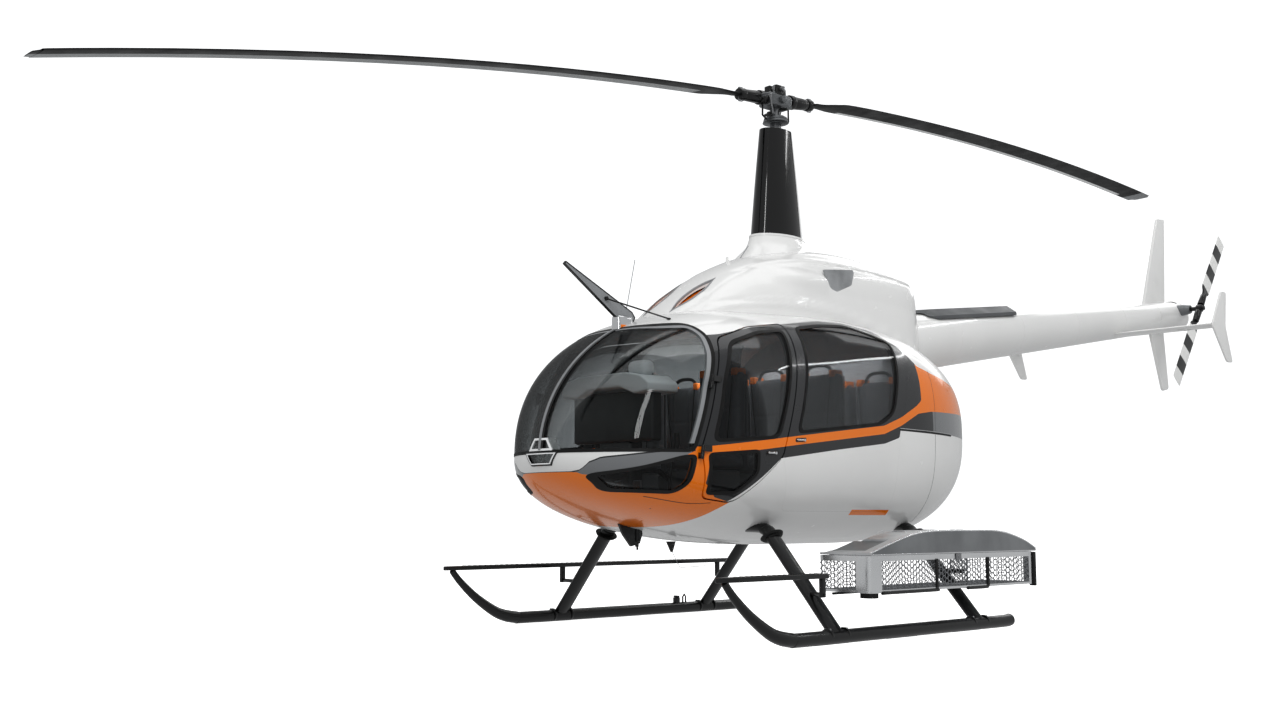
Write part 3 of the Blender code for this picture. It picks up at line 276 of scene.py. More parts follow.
@dataclass(frozen=True)
class Livery(Finish):
    """Two-pack paint in four colours, masked along lines drawn on the pod's side view; the grey laid over the
    charcoal aft of the seam is a painted reflection.
    """

    orange: str = "EC7C08"
    charcoal: str = "2B2C2E"
    grey: str = "77797B"
    low: Two = (-2.5, 0.5)
    high: Two = (2.0, 2.5)
    screen_foot: float = -1.79
    painted_sheen_start: float = 0.62
    seam_half: float = 0.005
    mark: Four = (-0.26, 0.19, 0.85, 0.888)
    chin_top: Outline = ((-2.5, 1.125), (-2.31, 1.12), (-2.28, 1.10), (-2.07, 1.145), (-1.86, 1.215),
                         (-1.80, 1.25), (-1.5, 1.25), (2.0, 1.25))
    chin_rear: Outline = ((0.5, -1.60), (0.77, -1.60), (0.81, -1.58), (0.88, -1.53), (0.93, -1.48),
                          (0.96, -1.60), (1.05, -1.70), (1.25, -1.70), (2.5, -1.70))
    band_low: Outline = ((-2.5, 1.12), (-2.31, 1.12), (-2.29, 1.18), (-2.25, 1.21), (-1.99, 1.248),
                         (-1.84, 1.27), (2.0, 1.30))
    dark_low: Outline = ((-2.5, 1.26), (-1.80, 1.26), (-1.78, 0.80), (-1.49, 0.94), (-1.15, 1.22),
                         (-0.53, 1.30), (-0.01, 1.36), (0.17, 1.41), (0.19, 1.48), (1.04, 1.46), (2.0, 1.44))
    dark_high: Outline = ((-2.5, 2.03), (-1.58, 2.03), (-1.46, 2.045), (-1.15, 2.12), (-0.67, 2.20),
                          (-0.30, 2.262), (0.0, 2.275), (0.25, 2.24), (0.40, 2.12), (0.53, 1.97),
                          (0.71, 1.93), (0.99, 1.89), (1.40, 1.84), (2.0, 1.80))
    stripe_low: Outline = ((-2.5, 1.22), (-1.74, 1.22), (-1.49, 1.25), (-1.02, 1.31), (-0.01, 1.43),
                           (0.20, 1.50), (0.42, 1.60), (0.60, 1.625), (1.14, 1.64), (2.0, 1.64))
    stripe_high: Outline = ((-2.5, 1.28), (-1.74, 1.28), (-1.49, 1.31), (-1.02, 1.37), (-0.01, 1.49),
                            (0.20, 1.56), (0.40, 1.655), (0.47, 1.70), (0.51, 1.98), (0.53, 2.05),
                            (2.0, 2.05))

    def line(self, tree: Tree, along: Socket, points: Outline, spans: Four) -> Socket:
        """A masking line: the level at each place along the other axis.

        Args:
            tree: the material's tree.
            along: the coordinate that the line runs along.
            points: the line's points.
            spans: the first and last value of that coordinate, then of the level.
        Returns:
            The level's socket.
        """
        a0, a1, b0, b1 = spans
        place = add_node(tree, "ShaderNodeMapRange", {"clamp": False},
                         {"Value": along, "From Min": a0, "From Max": a1})
        curve = add_node(tree, "ShaderNodeFloatCurve", links={"Value": place.outputs[0]})
        row = curve.mapping.curves[0].points
        while len(row) < len(points):
            row.new(0.5, 0.5)
        for point, (a, b) in zip(row, points):
            point.location = ((a - a0) / (a1 - a0), (b - b0) / (b1 - b0))
            point.handle_type = "VECTOR"
        curve.mapping.update()
        level = add_node(tree, "ShaderNodeMapRange", {"clamp": False},
                         {"Value": curve.outputs[0], "To Min": b0, "To Max": b1})
        return level.outputs[0]

    def base(self, tree: Tree, place: Socket) -> Socket:
        """The masked colours over the white base coat.

        Args:
            tree: the material's tree.
            place: the coordinates.
        Returns:
            The colour's socket.
        """
        colour = Finish.base(self, tree, place)
        local = add_node(tree, "ShaderNodeMapping", links={"Vector": place, "Location": -OFFSET})
        split = add_node(tree, "ShaderNodeSeparateXYZ", links={0: local.outputs[0]})
        y, z = split.outputs[1], split.outputs[2]
        flat = (self.low[0], self.high[0], self.low[1], self.high[1])
        upright = (self.low[1], self.high[1], self.low[0], self.high[0])
        level = {key: self.line(tree, y, getattr(self, key), flat)
                 for key in ("chin_top", "band_low", "dark_low", "dark_high", "stripe_low", "stripe_high")}
        rear = self.line(tree, z, self.chin_rear, upright)
        gap = add_node(tree, "ShaderNodeMath", {"operation": "SUBTRACT"}, {0: level["band_low"], 1: z})
        edge = add_node(tree, "ShaderNodeMath", {"operation": "ABSOLUTE"}, {0: gap.outputs[0]})
        y0, y1, z0, z1 = self.mark
        ahead, behind = ("LESS_THAN", y, self.screen_foot), ("GREATER_THAN", y, self.screen_foot)
        dark = (("GREATER_THAN", z, level["dark_low"]), ("LESS_THAN", z, level["dark_high"]))
        for code, tests in (
                (self.grey, (ahead, ("GREATER_THAN", z, level["chin_top"]),
                             ("LESS_THAN", z, level["band_low"]))),
                (self.charcoal, (ahead, ("LESS_THAN", edge.outputs[0], self.seam_half))),
                (self.charcoal, dark),
                # Painted reflection: the charcoal aft of the seam is lightened to grey
                (self.grey, (*dark, ("GREATER_THAN", y, self.painted_sheen_start))),
                (self.orange, (("LESS_THAN", y, rear), ("LESS_THAN", z, level["chin_top"]))),
                (self.orange, (behind, ("GREATER_THAN", z, level["stripe_low"]),
                               ("LESS_THAN", z, level["stripe_high"]), ("LESS_THAN", z, level["dark_high"]))),
                (self.orange, (("GREATER_THAN", y, y0), ("LESS_THAN", y, y1), ("GREATER_THAN", z, z0),
                               ("LESS_THAN", z, z1)))):
            colour = painted(tree, colour, code, tests)
        return colour


@dataclass(frozen=True)
class Glazing:
    """Tinted acrylic sheet: light passes straight through, and the sky shows in its gloss."""

    name: str
    tint: str
    reflect: float = 0.45
    deep_tint: str = "44474A"
    falloff: float = 1.6
    mirror_roughness: float = 0.02
    index: float = 1.49

    def build(self) -> bpy.types.Material:
        """Make the material.

        Returns:
            A mix of clear tint and mirror gloss by angle.
        """
        mat, tree, out = new_material(self.name)
        facing = add_node(tree, "ShaderNodeLayerWeight", links={"Blend": 0.5}).outputs["Facing"]
        slant = add_node(tree, "ShaderNodeMath", {"operation": "POWER"}, {0: facing, 1: self.falloff})
        depth = add_node(tree, "ShaderNodeMix", {"data_type": "RGBA"},
                         {"Factor": slant.outputs[0], 6: linear(self.tint), 7: linear(self.deep_tint)})
        clear = add_node(tree, "ShaderNodeBsdfTransparent", links={"Color": depth.outputs[2]})
        gloss = add_node(tree, "ShaderNodeBsdfAnisotropic",
                         links={"Color": (1, 1, 1, 1), "Roughness": self.mirror_roughness})
        share = add_node(tree, "ShaderNodeFresnel", links={"IOR": self.index})
        lifted = add_node(tree, "ShaderNodeMath", {"operation": "MULTIPLY"},
                          {0: share.outputs[0], 1: self.reflect})
        mix = add_node(tree, "ShaderNodeMixShader",
                       links={0: lifted.outputs[0], 1: clear.outputs[0], 2: gloss.outputs[0]})
        tree.links.new(mix.outputs[0], out.inputs["Surface"])
        return mat


@dataclass(frozen=True)
class Striped(Finish):
    """Paint in bands across a blade, by the piece's own UV map: U is the way out, V the way back."""

    bands: tuple[tuple[float, float, float, float, str], ...] = ()

    def base(self, tree: Tree, place: Socket) -> Socket:
        """The base coat with each band over it, a band being U from, U to, V from, V to and colour.

        Args:
            tree: the material's tree.
            place: the coordinates.
        Returns:
            The colour's socket.
        """
        colour = Finish.base(self, tree, place)
        uv = add_node(tree, "ShaderNodeUVMap", {"uv_map": "blade"})
        split = add_node(tree, "ShaderNodeSeparateXYZ", links={0: uv.outputs[0]})
        u, v = split.outputs[0], split.outputs[1]
        for u0, u1, v0, v1, code in self.bands:
            colour = painted(tree, colour, code, (("GREATER_THAN", u, u0), ("LESS_THAN", u, u1),
                                                  ("GREATER_THAN", v, v0), ("LESS_THAN", v, v1)))
        return colour


# Gloss two-pack paint: deep reflections over a faint orange peel
POD_PAINT = Livery("painted_composite_skin", "E6E6E5", "DEDEDD", 0.22, grain_mm=4.0, depth_mm=0.002,
                   coat=0.5, wear=0.5)
WHITE_PAINT = Finish("white_gloss_paint", "E6E6E5", "DEDEDD", 0.22, grain_mm=4.0, depth_mm=0.002, coat=0.5,
                     wear=0.5)
# Powder-coated black steel: half gloss with a fine texture
BLACK_PAINT = Finish("black_powder_coat", "0A0A0B", "141516", 0.30, grain_mm=1.2, depth_mm=0.03, coat=0.5,
                     wear=0.6, shine=0.4)
# Gloss black fairing: like piano lacquer, it mirrors the lamps
BLACK_GLOSS = Finish("black_gloss_paint", "070708", "101011", 0.12, grain_mm=4.0, depth_mm=0.004, coat=0.7,
                     wear=0.5, shine=0.4)
# Satin grey paint on rims, whips and cutters: chalky and even
GREY_PAINT = Finish("satin_grey_paint", "8E9092", "7E8082", 0.45, grain_mm=1.5, depth_mm=0.03, wear=0.7)
# EPDM rubber: dull, almost black
RUBBER = Finish("rubber_seal", "0D0D0D", "1B1B1B", 0.6, grain_mm=1.5, depth_mm=0.05, wear=0.8)
# Turned steel: bright with hairlines
STEEL = Finish("machined_steel", "A6A7A9", "7D7E80", 0.28, Grain.BRUSHED, 1.0, 0.02, 1.0, stretch=(1, 1, 12),
               wear=0.7)
# Brushed sheet aluminium: long hairlines along the basket
BRUSHED = Finish("brushed_aluminium", "E4E5E6", "C4C6C8", 0.33, Grain.BRUSHED, 2.0, 0.05, 1.0,
                 stretch=(14, 0.25, 14), wear=0.8)
# Cast aluminium housings: grainy and dull
CAST = Finish("cast_aluminium", "8C8E90", "6E7072", 0.45, Grain.CAST, 3.0, 0.12, 1.0, wear=0.8)
# Moulded ABS trim: pebbled and matt
TRIM = Finish("moulded_grey_plastic", "5F6163", "505254", 0.55, Grain.PEBBLED, 3.0, 0.15, wear=0.6)
DARK_TRIM = Finish("moulded_black_plastic", "1A1B1C", "26282A", 0.5, Grain.PEBBLED, 3.0, 0.15, wear=0.6)
# Grained leather seat covers: fine pebbles and a soft sheen
LEATHER = Finish("seat_leather", "56585B", "484A4D", 0.42, Grain.PEBBLED, 5.0, 0.35, coat=0.1, wear=0.9)
# Loop carpet: dull and dark, its loops drawn at their real 6 mm
CARPET = Finish("loop_carpet", "3A3B3D", "4A4B4D", 0.95, Grain.PEBBLED, 6.0, 1.5, wear=0.9)
# Woven wool cloth glued on the cabin's walls
CABIN_CLOTH = Finish("cabin_wall_cloth", "A3A5A7", "939598", 0.85, Grain.PEBBLED, 4.0, 0.3, wear=0.7)
# Light moulded ABS on the glare shield, fine pebble that breaks up its highlights
LIGHT_TRIM = Finish("moulded_light_plastic", "DADCDE", "C8CACC", 0.5, Grain.PEBBLED, 3.0, 0.12, wear=0.5)
# Polyester belt webbing in orange
WEBBING = Finish("belt_webbing", "D9731A", "B85F12", 0.7, Grain.BRUSHED, 3.0, 0.4, stretch=(1, 1, 4),
                 wear=0.6)
# Orange enamel inside the inlets
ORANGE_PAINT = Finish("orange_gloss_paint", "EC7C08", "D06004", 0.24, grain_mm=4.0, depth_mm=0.012, coat=0.6)
# Heat-stained exhaust steel
BURNT = Finish("heat_stained_steel", "7A6A5C", "4A4038", 0.4, Grain.CAST, 6.0, 0.05, 1.0, wear=1.0)
# Woven stainless screen over the intakes, drawn coarser than its real weave so that it shows
SCREEN = Finish("woven_steel_screen", "D0D2D4", "5A5C5E", 0.5, Grain.PEBBLED, 9.0, 1.2, 0.6, wear=1.0)
# Main blades: satin black with painted bands along the edges
FORWARD_BLADE = Striped(
    "forward_blade_paint", "0C0D0E", "17181A", 0.42, grain_mm=1.5, depth_mm=0.03, wear=0.6, shine=0.2,
    bands=((0.78, 5.60, 0.55, 1.1, "A9ABAC"), (0.78, 5.60, -1.1, -0.45, "A9ABAC"),
           (4.90, 5.58, 0.86, 1.1, "EC7C08"), (0.30, 0.78, -1.1, 1.1, "1B1C1D")))
AFT_BLADE = Striped(
    "aft_blade_paint", "0C0D0E", "17181A", 0.42, grain_mm=1.5, depth_mm=0.03, wear=0.6, shine=0.2,
    bands=((0.78, 5.30, -0.22, -0.05, "E6E7E7"), (5.42, 5.60, -1.1, 1.1, "8E9092")))
# Tail blades: broad black and white bands that make the disc show
TAIL_BLADE = Striped(
    "tail_blade_paint", "F0F0EE", "DCDCDA", 0.3, grain_mm=2.0, depth_mm=0.02, coat=0.4,
    bands=((0.20, 0.30, -1.1, 1.1, "121314"), (0.46, 0.62, -1.1, 1.1, "121314"),
           (0.78, 0.94, -1.1, 1.1, "121314")))
# Expanded aluminium mesh, clear anodised, its strands dulled by handling
BASKET_WIRE = Finish("expanded_aluminium_mesh", "A9ABAE", "7E8083", 0.42, Grain.BRUSHED, 1.5, 0.03, 1.0,
                     wear=0.8)
# Aluminium sheet on the lid's side and in its front pocket, brushed upright, with soft dark streaks; it is
# darker than the lid's top as painted shade on the side and in the pocket
BRUSHED_SHADED = Finish("brushed_sheet_painted_shade", "A6A8AA", "7C7E80", 0.36, Grain.BRUSHED, 6.0, 0.05, 1.0,
                      stretch=(1, 1, 10), wear=0.9)
# Polished aluminium sheet for corners and bands, brushed upright
BRUSHED_UP = Finish("polished_aluminium", "F0F1F2", "D4D6D8", 0.24, Grain.BRUSHED, 2.0, 0.04, 1.0,
                    stretch=(1, 1, 14), wear=0.5)
# Bright chromium plate
CHROME = Finish("bright_chrome", "E4E5E6", "C9CACC", 0.08, grain_mm=4.0, depth_mm=0.01, metallic=1.0,
                wear=0.3)
# White gloss trim round the lamps, bright and glossy; on the lamps' reflectors the white is a painted
# reflection that stands in for their chrome
LAMP_WHITE = Finish("lamp_reflector", "F2F3F4", "DDDFE1", 0.15, grain_mm=4.0, depth_mm=0.01, coat=0.8,
                    wear=0.3)
# Dark display glass with a hard gloss
SCREEN_GLASS = Finish("display_glass", "08090A", "0E1012", 0.06, grain_mm=4.0, depth_mm=0.005, coat=1.0,
                      wear=0.2)
# Lamp glass and windows
CLEAR_GLASS = Glazing("clear_acrylic", "EDEFEF", 0.32)
TINTED_GLASS = Glazing("smoked_acrylic", "D4D6D7", 0.42)

MATERIALS: dict[str, bpy.types.Material] = {}


def material(finish: Union[Finish, Glazing]) -> bpy.types.Material:
    """The finish's material, made once."""
    if finish.name not in MATERIALS:
        MATERIALS[finish.name] = finish.build()
    return MATERIALS[finish.name]


# Shapes


class Axis(Enum):
    """The direction that an outline is drawn along: its two coordinates and the third."""

    SIDE = (1, 2, 0)
    PLAN = (0, 1, 2)
    FRONT = (0, 2, 1)


def spot(axis: Axis, a: float, b: float, c: float) -> Vector:
    """A point from an outline's two coordinates and its level along the axis.

    Args:
        axis: the direction the outline is drawn along.
        a: the outline's first coordinate.
        b: its second.
        c: the level.
    Returns:
        The point.
    """
    place = Vector((0, 0, 0))
    for index, value in zip(axis.value, (a, b, c)):
        place[index] = value
    return place


def as_mesh(bm: BMesh, recalculate: bool = True) -> Mesh:
    """Close a bmesh into a mesh.

    Args:
        bm: the bmesh, which is freed.
        recalculate: turn all faces outwards first.
    Returns:
        The mesh.
    """
    if recalculate:
        bmesh.ops.recalc_face_normals(bm, faces=bm.faces)
    mesh = bpy.data.meshes.new("shape")
    bm.to_mesh(mesh)
    bm.free()
    return mesh


def offset_outline(points: Outline, distance: float) -> list[Vector]:
    """Move an outline outwards, or inwards for a negative distance.

    Args:
        points: the outline's corners.
        distance: how far.
    Returns:
        The moved corners.
    """
    pts = [Vector(p) for p in points]
    count = len(pts)
    area = sum(pts[i].x * pts[(i + 1) % count].y - pts[(i + 1) % count].x * pts[i].y for i in range(count))
    side = 1.0 if area > 0 else -1.0
    moved = []
    for i in range(count):
        before = (pts[i] - pts[i - 1]).normalized()
        after = (pts[(i + 1) % count] - pts[i]).normalized()
        normal = Vector((before.y, -before.x)) * side
        bend = (normal + Vector((after.y, -after.x)) * side).normalized()
        moved.append(pts[i] + bend * (distance / max(MITRE, bend.dot(normal))))
    return moved


def round_outline(points: Sequence[Vector], radius: float, steps: int = 8) -> list[Vector]:
    """Turn each corner of an outline into an arc.

    Args:
        points: the corners.
        radius: the reach of each arc along the sides.
        steps: the pieces of each arc.
    Returns:
        The rounded outline.
    """
    pts = [Vector(p) for p in points]
    rounded = []
    for i, here in enumerate(pts):
        back, ahead = pts[i - 1] - here, pts[(i + 1) % len(pts)] - here
        reach = min(radius, back.length * CORNER_SHARE, ahead.length * CORNER_SHARE)
        start, end = here + back.normalized() * reach, here + ahead.normalized() * reach
        for k in range(steps + 1):
            t = k / steps
            rounded.append(start.lerp(here, t).lerp(here.lerp(end, t), t))
    return rounded


def prism(axis: Axis, outline: Outline, start: float, end: float, index: int = 0) -> Mesh:
    """Extrude an outline between two levels.

    Args:
        axis: the direction it is drawn along.
        outline: its corners.
        start: the first level.
        end: the last level.
        index: the material slot of its faces.
    Returns:
        A closed mesh.
    """
    bm = bmesh.new()
    face = bm.faces.new([bm.verts.new(spot(axis, p[0], p[1], start)) for p in outline])
    raised = bmesh.ops.extrude_face_region(bm, geom=[face])["geom"]
    bmesh.ops.translate(bm, vec=spot(axis, 0, 0, end - start),
                        verts=[v for v in raised if isinstance(v, bmesh.types.BMVert)])
    for f in bm.faces:
        f.material_index = index
    return as_mesh(bm)


def loft(rings: Sequence[Sequence[Vector]]) -> BMesh:
    """Bridge closed rings of equal length one to the next, and close both ends with a face.

    Args:
        rings: the rings' points.
    Returns:
        The bmesh.
    """
    bm = bmesh.new()
    rows = [[bm.verts.new(p) for p in ring] for ring in rings]
    count = len(rows[0])
    for low, high in zip(rows, rows[1:]):
        for i in range(count):
            j = (i + 1) % count
            bm.faces.new((low[i], low[j], high[j], high[i]))
    bm.faces.new(rows[0])
    bm.faces.new(rows[-1])
    return bm


def smooth_path(points: Outline, steps: int = 8) -> list[Vector]:
    """A Catmull-Rom line through points.

    Args:
        points: the points, of any dimension.
        steps: new points for each stretch.
    Returns:
        The finer line.
    """
    pts = [Vector(p) for p in points]
    fine = []
    for i in range(len(pts) - 1):
        before, a, b, after = pts[max(i - 1, 0)], pts[i], pts[i + 1], pts[min(i + 2, len(pts) - 1)]
        for k in range(steps):
            t = k / steps
            fine.append(0.5 * (2 * a + (b - before) * t + (2 * before - 5 * a + 4 * b - after) * t * t
                               + (3 * a - before - 3 * b + after) * t * t * t))
    return fine + [pts[-1]]


def turns(count: int) -> list[float]:
    """Equal angles round a full circle."""
    return [math.tau * k / count for k in range(count)]


def rims(bm: BMesh) -> list[Edge]:
    """The edges round the end faces, which have more than four corners."""
    return [e for e in bm.edges if any(len(f.verts) > 4 for f in e.link_faces)]


def soften(bm: BMesh, edges: Sequence[Edge], offset: float, segments: int = 2) -> None:
    """Round some edges off."""
    bmesh.ops.bevel(bm, geom=edges, offset=offset, segments=segments, profile=0.5, affect="EDGES",
                    material=-1)


def softened(mesh: Mesh, offset: float, segments: int = 2, ends_only: bool = True) -> Mesh:
    """A solid with rounded edges.

    Args:
        mesh: the sharp solid.
        offset: how far the rounding reaches.
        segments: faces across it.
        ends_only: round only the edges of the end faces.
    Returns:
        The rounded mesh.
    """
    bm = bmesh.new()
    bm.from_mesh(mesh)
    soften(bm, rims(bm) if ends_only else bm.edges[:], offset, segments)
    return as_mesh(bm)


def rectangle(x0: float, y0: float, x1: float, y1: float) -> Outline:
    """The corners of an outline with square corners."""
    return (x0, y0), (x1, y0), (x1, y1), (x0, y1)


def tube(points: Outline, radius: float, sides: int = 20,
         radii: Optional[Sequence[float]] = None) -> Mesh:
    """A round bar along a line with closed, slightly rounded ends.

    Args:
        points: the line.
        radius: the bar's radius.
        sides: faces round it.
        radii: a share of the radius at each point.
    Returns:
        A closed mesh.
    """
    pts = [Vector(p) for p in points]
    side = Vector((0, 0, 1)).orthogonal()
    rings = []
    for i, here in enumerate(pts):
        along = (pts[min(i + 1, len(pts) - 1)] - pts[max(i - 1, 0)]).normalized()
        side = (side - along * side.dot(along))
        side = side.normalized() if side.length > 1e-4 else along.orthogonal().normalized()
        up = along.cross(side)
        size = radius * (radii[i] if radii else 1.0)
        rings.append([here + (side * math.cos(a) + up * math.sin(a)) * size for a in turns(sides)])
    bm = loft(rings)
    if radius > THIN_BAR:
        soften(bm, rims(bm), radius * END_SHARE)
    return as_mesh(bm)


def rounded_box(low: Sequence[float], high: Sequence[float], radius: float, segments: int = 3) -> Mesh:
    """A box with rounded edges.

    Args:
        low: its lowest corner.
        high: its highest corner.
        radius: the rounding.
        segments: faces across each rounding.
    Returns:
        A closed mesh.
    """
    bm = bmesh.new()
    bmesh.ops.create_cube(bm, size=1.0)
    low, high = Vector(low), Vector(high)
    bmesh.ops.scale(bm, vec=high - low, verts=bm.verts)
    bmesh.ops.translate(bm, vec=(low + high) / 2, verts=bm.verts)
    soften(bm, bm.edges[:], radius, segments)
    return as_mesh(bm)


def disc(start: Sequence[float], end: Sequence[float], radius: float, radius_end: Optional[float] = None,
         sides: int = 32, edge: float = 0.15) -> Mesh:
    """A turned part between two points with softened rims.

    Args:
        start: the middle of one end.
        end: the middle of the other.
        radius: the first end's radius.
        radius_end: the last end's radius.
        sides: faces round it.
        edge: the rims' rounding, as a share of the smaller size.
    Returns:
        A closed mesh.
    """
    start, end = Vector(start), Vector(end)
    last = radius if radius_end is None else radius_end
    bm = bmesh.new()
    bmesh.ops.create_cone(bm, cap_ends=True, segments=sides, radius1=radius, radius2=last,
                          depth=(end - start).length)
    size = min(radius, last, (end - start).length / 2) * edge
    if size > 0:
        soften(bm, rims(bm), size)
    turn = Vector((0, 0, 1)).rotation_difference((end - start).normalized()).to_matrix().to_4x4()
    bmesh.ops.transform(bm, matrix=Matrix.Translation((start + end) / 2) @ turn, verts=bm.verts)
    return as_mesh(bm)


def joined(meshes: Sequence[Mesh]) -> Mesh:
    """Put several meshes in one.

    Args:
        meshes: the meshes.
    Returns:
        One mesh, with its faces as they were.
    """
    bm = bmesh.new()
    for mesh in meshes:
        bm.from_mesh(mesh)
    return as_mesh(bm, recalculate=False)


def mirrored(mesh: Mesh) -> Mesh:
    """The same mesh on the other side of the machine's middle plane.

    Args:
        mesh: the mesh, which is left as it is.
    Returns:
        Its twin.
    """
    bm = bmesh.new()
    bm.from_mesh(mesh)
    bmesh.ops.scale(bm, vec=(-1, 1, 1), verts=bm.verts)
    bmesh.ops.reverse_faces(bm, faces=bm.faces)
    return as_mesh(bm, recalculate=False)


def two_sides(mesh: Mesh) -> tuple[tuple[str, Mesh], tuple[str, Mesh]]:
    """A port mesh and its starboard twin, each after its word."""
    return ("left", mesh.copy()), ("right", mirrored(mesh))


def moved(mesh: Mesh, matrix: Matrix) -> Mesh:
    """The mesh itself, after a move."""
    mesh.transform(matrix)
    return mesh


def evaluated(obj: bpy.types.Object) -> Mesh:
    """An object's mesh with its modifiers applied."""
    return bpy.data.meshes.new_from_object(obj.evaluated_get(bpy.context.evaluated_depsgraph_get()))


def carved(base: Mesh, cuts: Sequence[tuple[str, Mesh]]) -> Mesh:
    """Cut, keep or join with solids, one after another.

    Args:
        base: the mesh to start from, which is left as it is.
        cuts: KEEP, CUT or ADD with a mesh.
    Returns:
        A new mesh.
    """
    start = base.copy()
    while len(start.materials) < SLOTS:
        start.materials.append(None)
    holder = bpy.data.objects.new("carving", start)
    link(holder)
    tools = []
    for operation, mesh in cuts:
        tool = bpy.data.objects.new("tool", mesh)
        link(tool)
        cut = holder.modifiers.new("cut", "BOOLEAN")
        cut.operation, cut.object, cut.solver, cut.material_mode = operation, tool, "EXACT", "INDEX"
        tools.append(tool)
    made = evaluated(holder)
    for obj in tools + [holder]:
        bpy.data.objects.remove(obj)
    return made


def put(name: str, mesh: Mesh, finishes: Any, body: str = AIRFRAME,
        replaces: Sequence[str] = (), sharp: float = 35.0) -> bpy.types.Object:
    """Place a mesh drawn in the mast's frame as a piece that rides on a body.

    Args:
        name: the piece's name.
        mesh: its shape.
        finishes: the finish of each material slot, or one for them all.
        body: the body it moves with.
        replaces: the CAD nodes it stands for.
        sharp: faces that meet at more than this many degrees stay crisp.
    Returns:
        The piece.
    """
    mesh.name = name
    mesh.transform(Matrix.Translation(OFFSET))
    mesh.materials.clear()
    count = 1 + max(face.material_index for face in mesh.polygons)
    for finish in finishes if isinstance(finishes, tuple) else (finishes,) * count:
        mesh.materials.append(material(finish))
    mesh.shade_smooth()
    mesh.set_sharp_from_angle(angle=math.radians(sharp))
    obj = bpy.data.objects.new(name, mesh)
    link(obj)
    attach(obj, body)
    if replaces:
        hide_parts(*replaces)
    LOG.info("%s: %d faces on %s", name, len(mesh.polygons), body)
    return obj


# The cabin


@dataclass
class PodShape:
    """The cabin pod's law: a superellipse that squares up amidships."""

    nose: float = -2.39
    tail: float = 1.87
    half_width: float = 1.0
    height: float = 0.98
    belly: float = 0.635
    widest: float = 1.23
    rise: float = 0.07
    sides: int = 160
    stations: int = 112
    made: dict[tuple[float, int, bool], Mesh] = field(default_factory=dict)

    def bulge(self, y: float, front: float, rear: float, inset: float) -> float:
        """One between two stations, falling as an ellipse to nothing at each end."""
        y0, y1 = self.nose + inset, self.tail - inset
        t = (front - y) / (front - y0) if y < front else (y - rear) / (y1 - rear) if y > rear else 0.0
        return math.sqrt(max(0.0, 1.0 - t * t))

    def sizes(self, y: float, inset: float) -> tuple[float, float, float, float, float]:
        """Half width, widest level, rise, drop and power at a station.

        Args:
            y: the station.
            inset: how far inside the skin.
        Returns:
            The five sizes.
        """
        fullness = self.bulge(y, -1.03, 0.40, inset)
        middle = self.widest + self.rise * (y - self.nose)
        up = (self.height - inset) * self.bulge(y, -1.06, -0.38, inset)
        down = (middle - self.belly - inset) * self.bulge(y, -0.40, 0.33, inset)
        return (self.half_width - inset) * fullness, middle, up, down, 2.0 + 0.9 * fullness

    def side_x(self, y: float, z: float, inset: float = 0.0) -> float:
        """How far out the skin is at a place on the side view."""
        half, middle, up, down, power = self.sizes(y, inset)
        reach = up if z > middle else down
        return half * max(0.0, 1.0 - min(1.0, abs(z - middle) / reach) ** power) ** (1 / power)

    def top_z(self, x: float, y: float, inset: float = 0.0) -> float:
        """How high the skin is above a place on the plan."""
        half, middle, up, _, power = self.sizes(y, inset)
        return middle + up * max(0.0, 1.0 - min(1.0, abs(x) / half) ** power) ** (1 / power)

    def surface(self, inset: float, index: int, inward: bool = False) -> Mesh:
        """A ball shaped by the law.

        Args:
            inset: how far inside the skin.
            index: the material slot of its faces.
            inward: turn the faces to the inside.
        Returns:
            The mesh.
        """
        if (inset, index, inward) in self.made:
            return self.made[(inset, index, inward)]
        bm = bmesh.new()
        bmesh.ops.create_uvsphere(bm, u_segments=self.sides, v_segments=self.stations, radius=1.0)
        for v in bm.verts:
            x, z, pole = v.co.x, v.co.y, max(-1.0, min(1.0, v.co.z))
            y = self.nose + inset + (self.tail - self.nose - 2 * inset) * (1 + pole) / 2
            angle = math.atan2(z, x)
            half, middle, up, down, power = self.sizes(y, inset)
            c, s = math.cos(angle), math.sin(angle)
            v.co = Vector((half * math.copysign(abs(c) ** (2 / power), c), y,
                           middle + (up if s > 0 else down) * math.copysign(abs(s) ** (2 / power), s)))
        bmesh.ops.recalc_face_normals(bm, faces=bm.faces)
        if inward:
            bmesh.ops.reverse_faces(bm, faces=bm.faces)
        for f in bm.faces:
            f.material_index = index
        self.made[(inset, index, inward)] = as_mesh(bm, recalculate=False)
        return self.made[(inset, index, inward)]

    def shell(self, outer: float, inner: float) -> Mesh:
        """The wall between two insets, its outer face in slot 0 and its inner one in slot 1."""
        return joined([self.surface(outer, 0), self.surface(inner, 1, True)])


POD = PodShape()


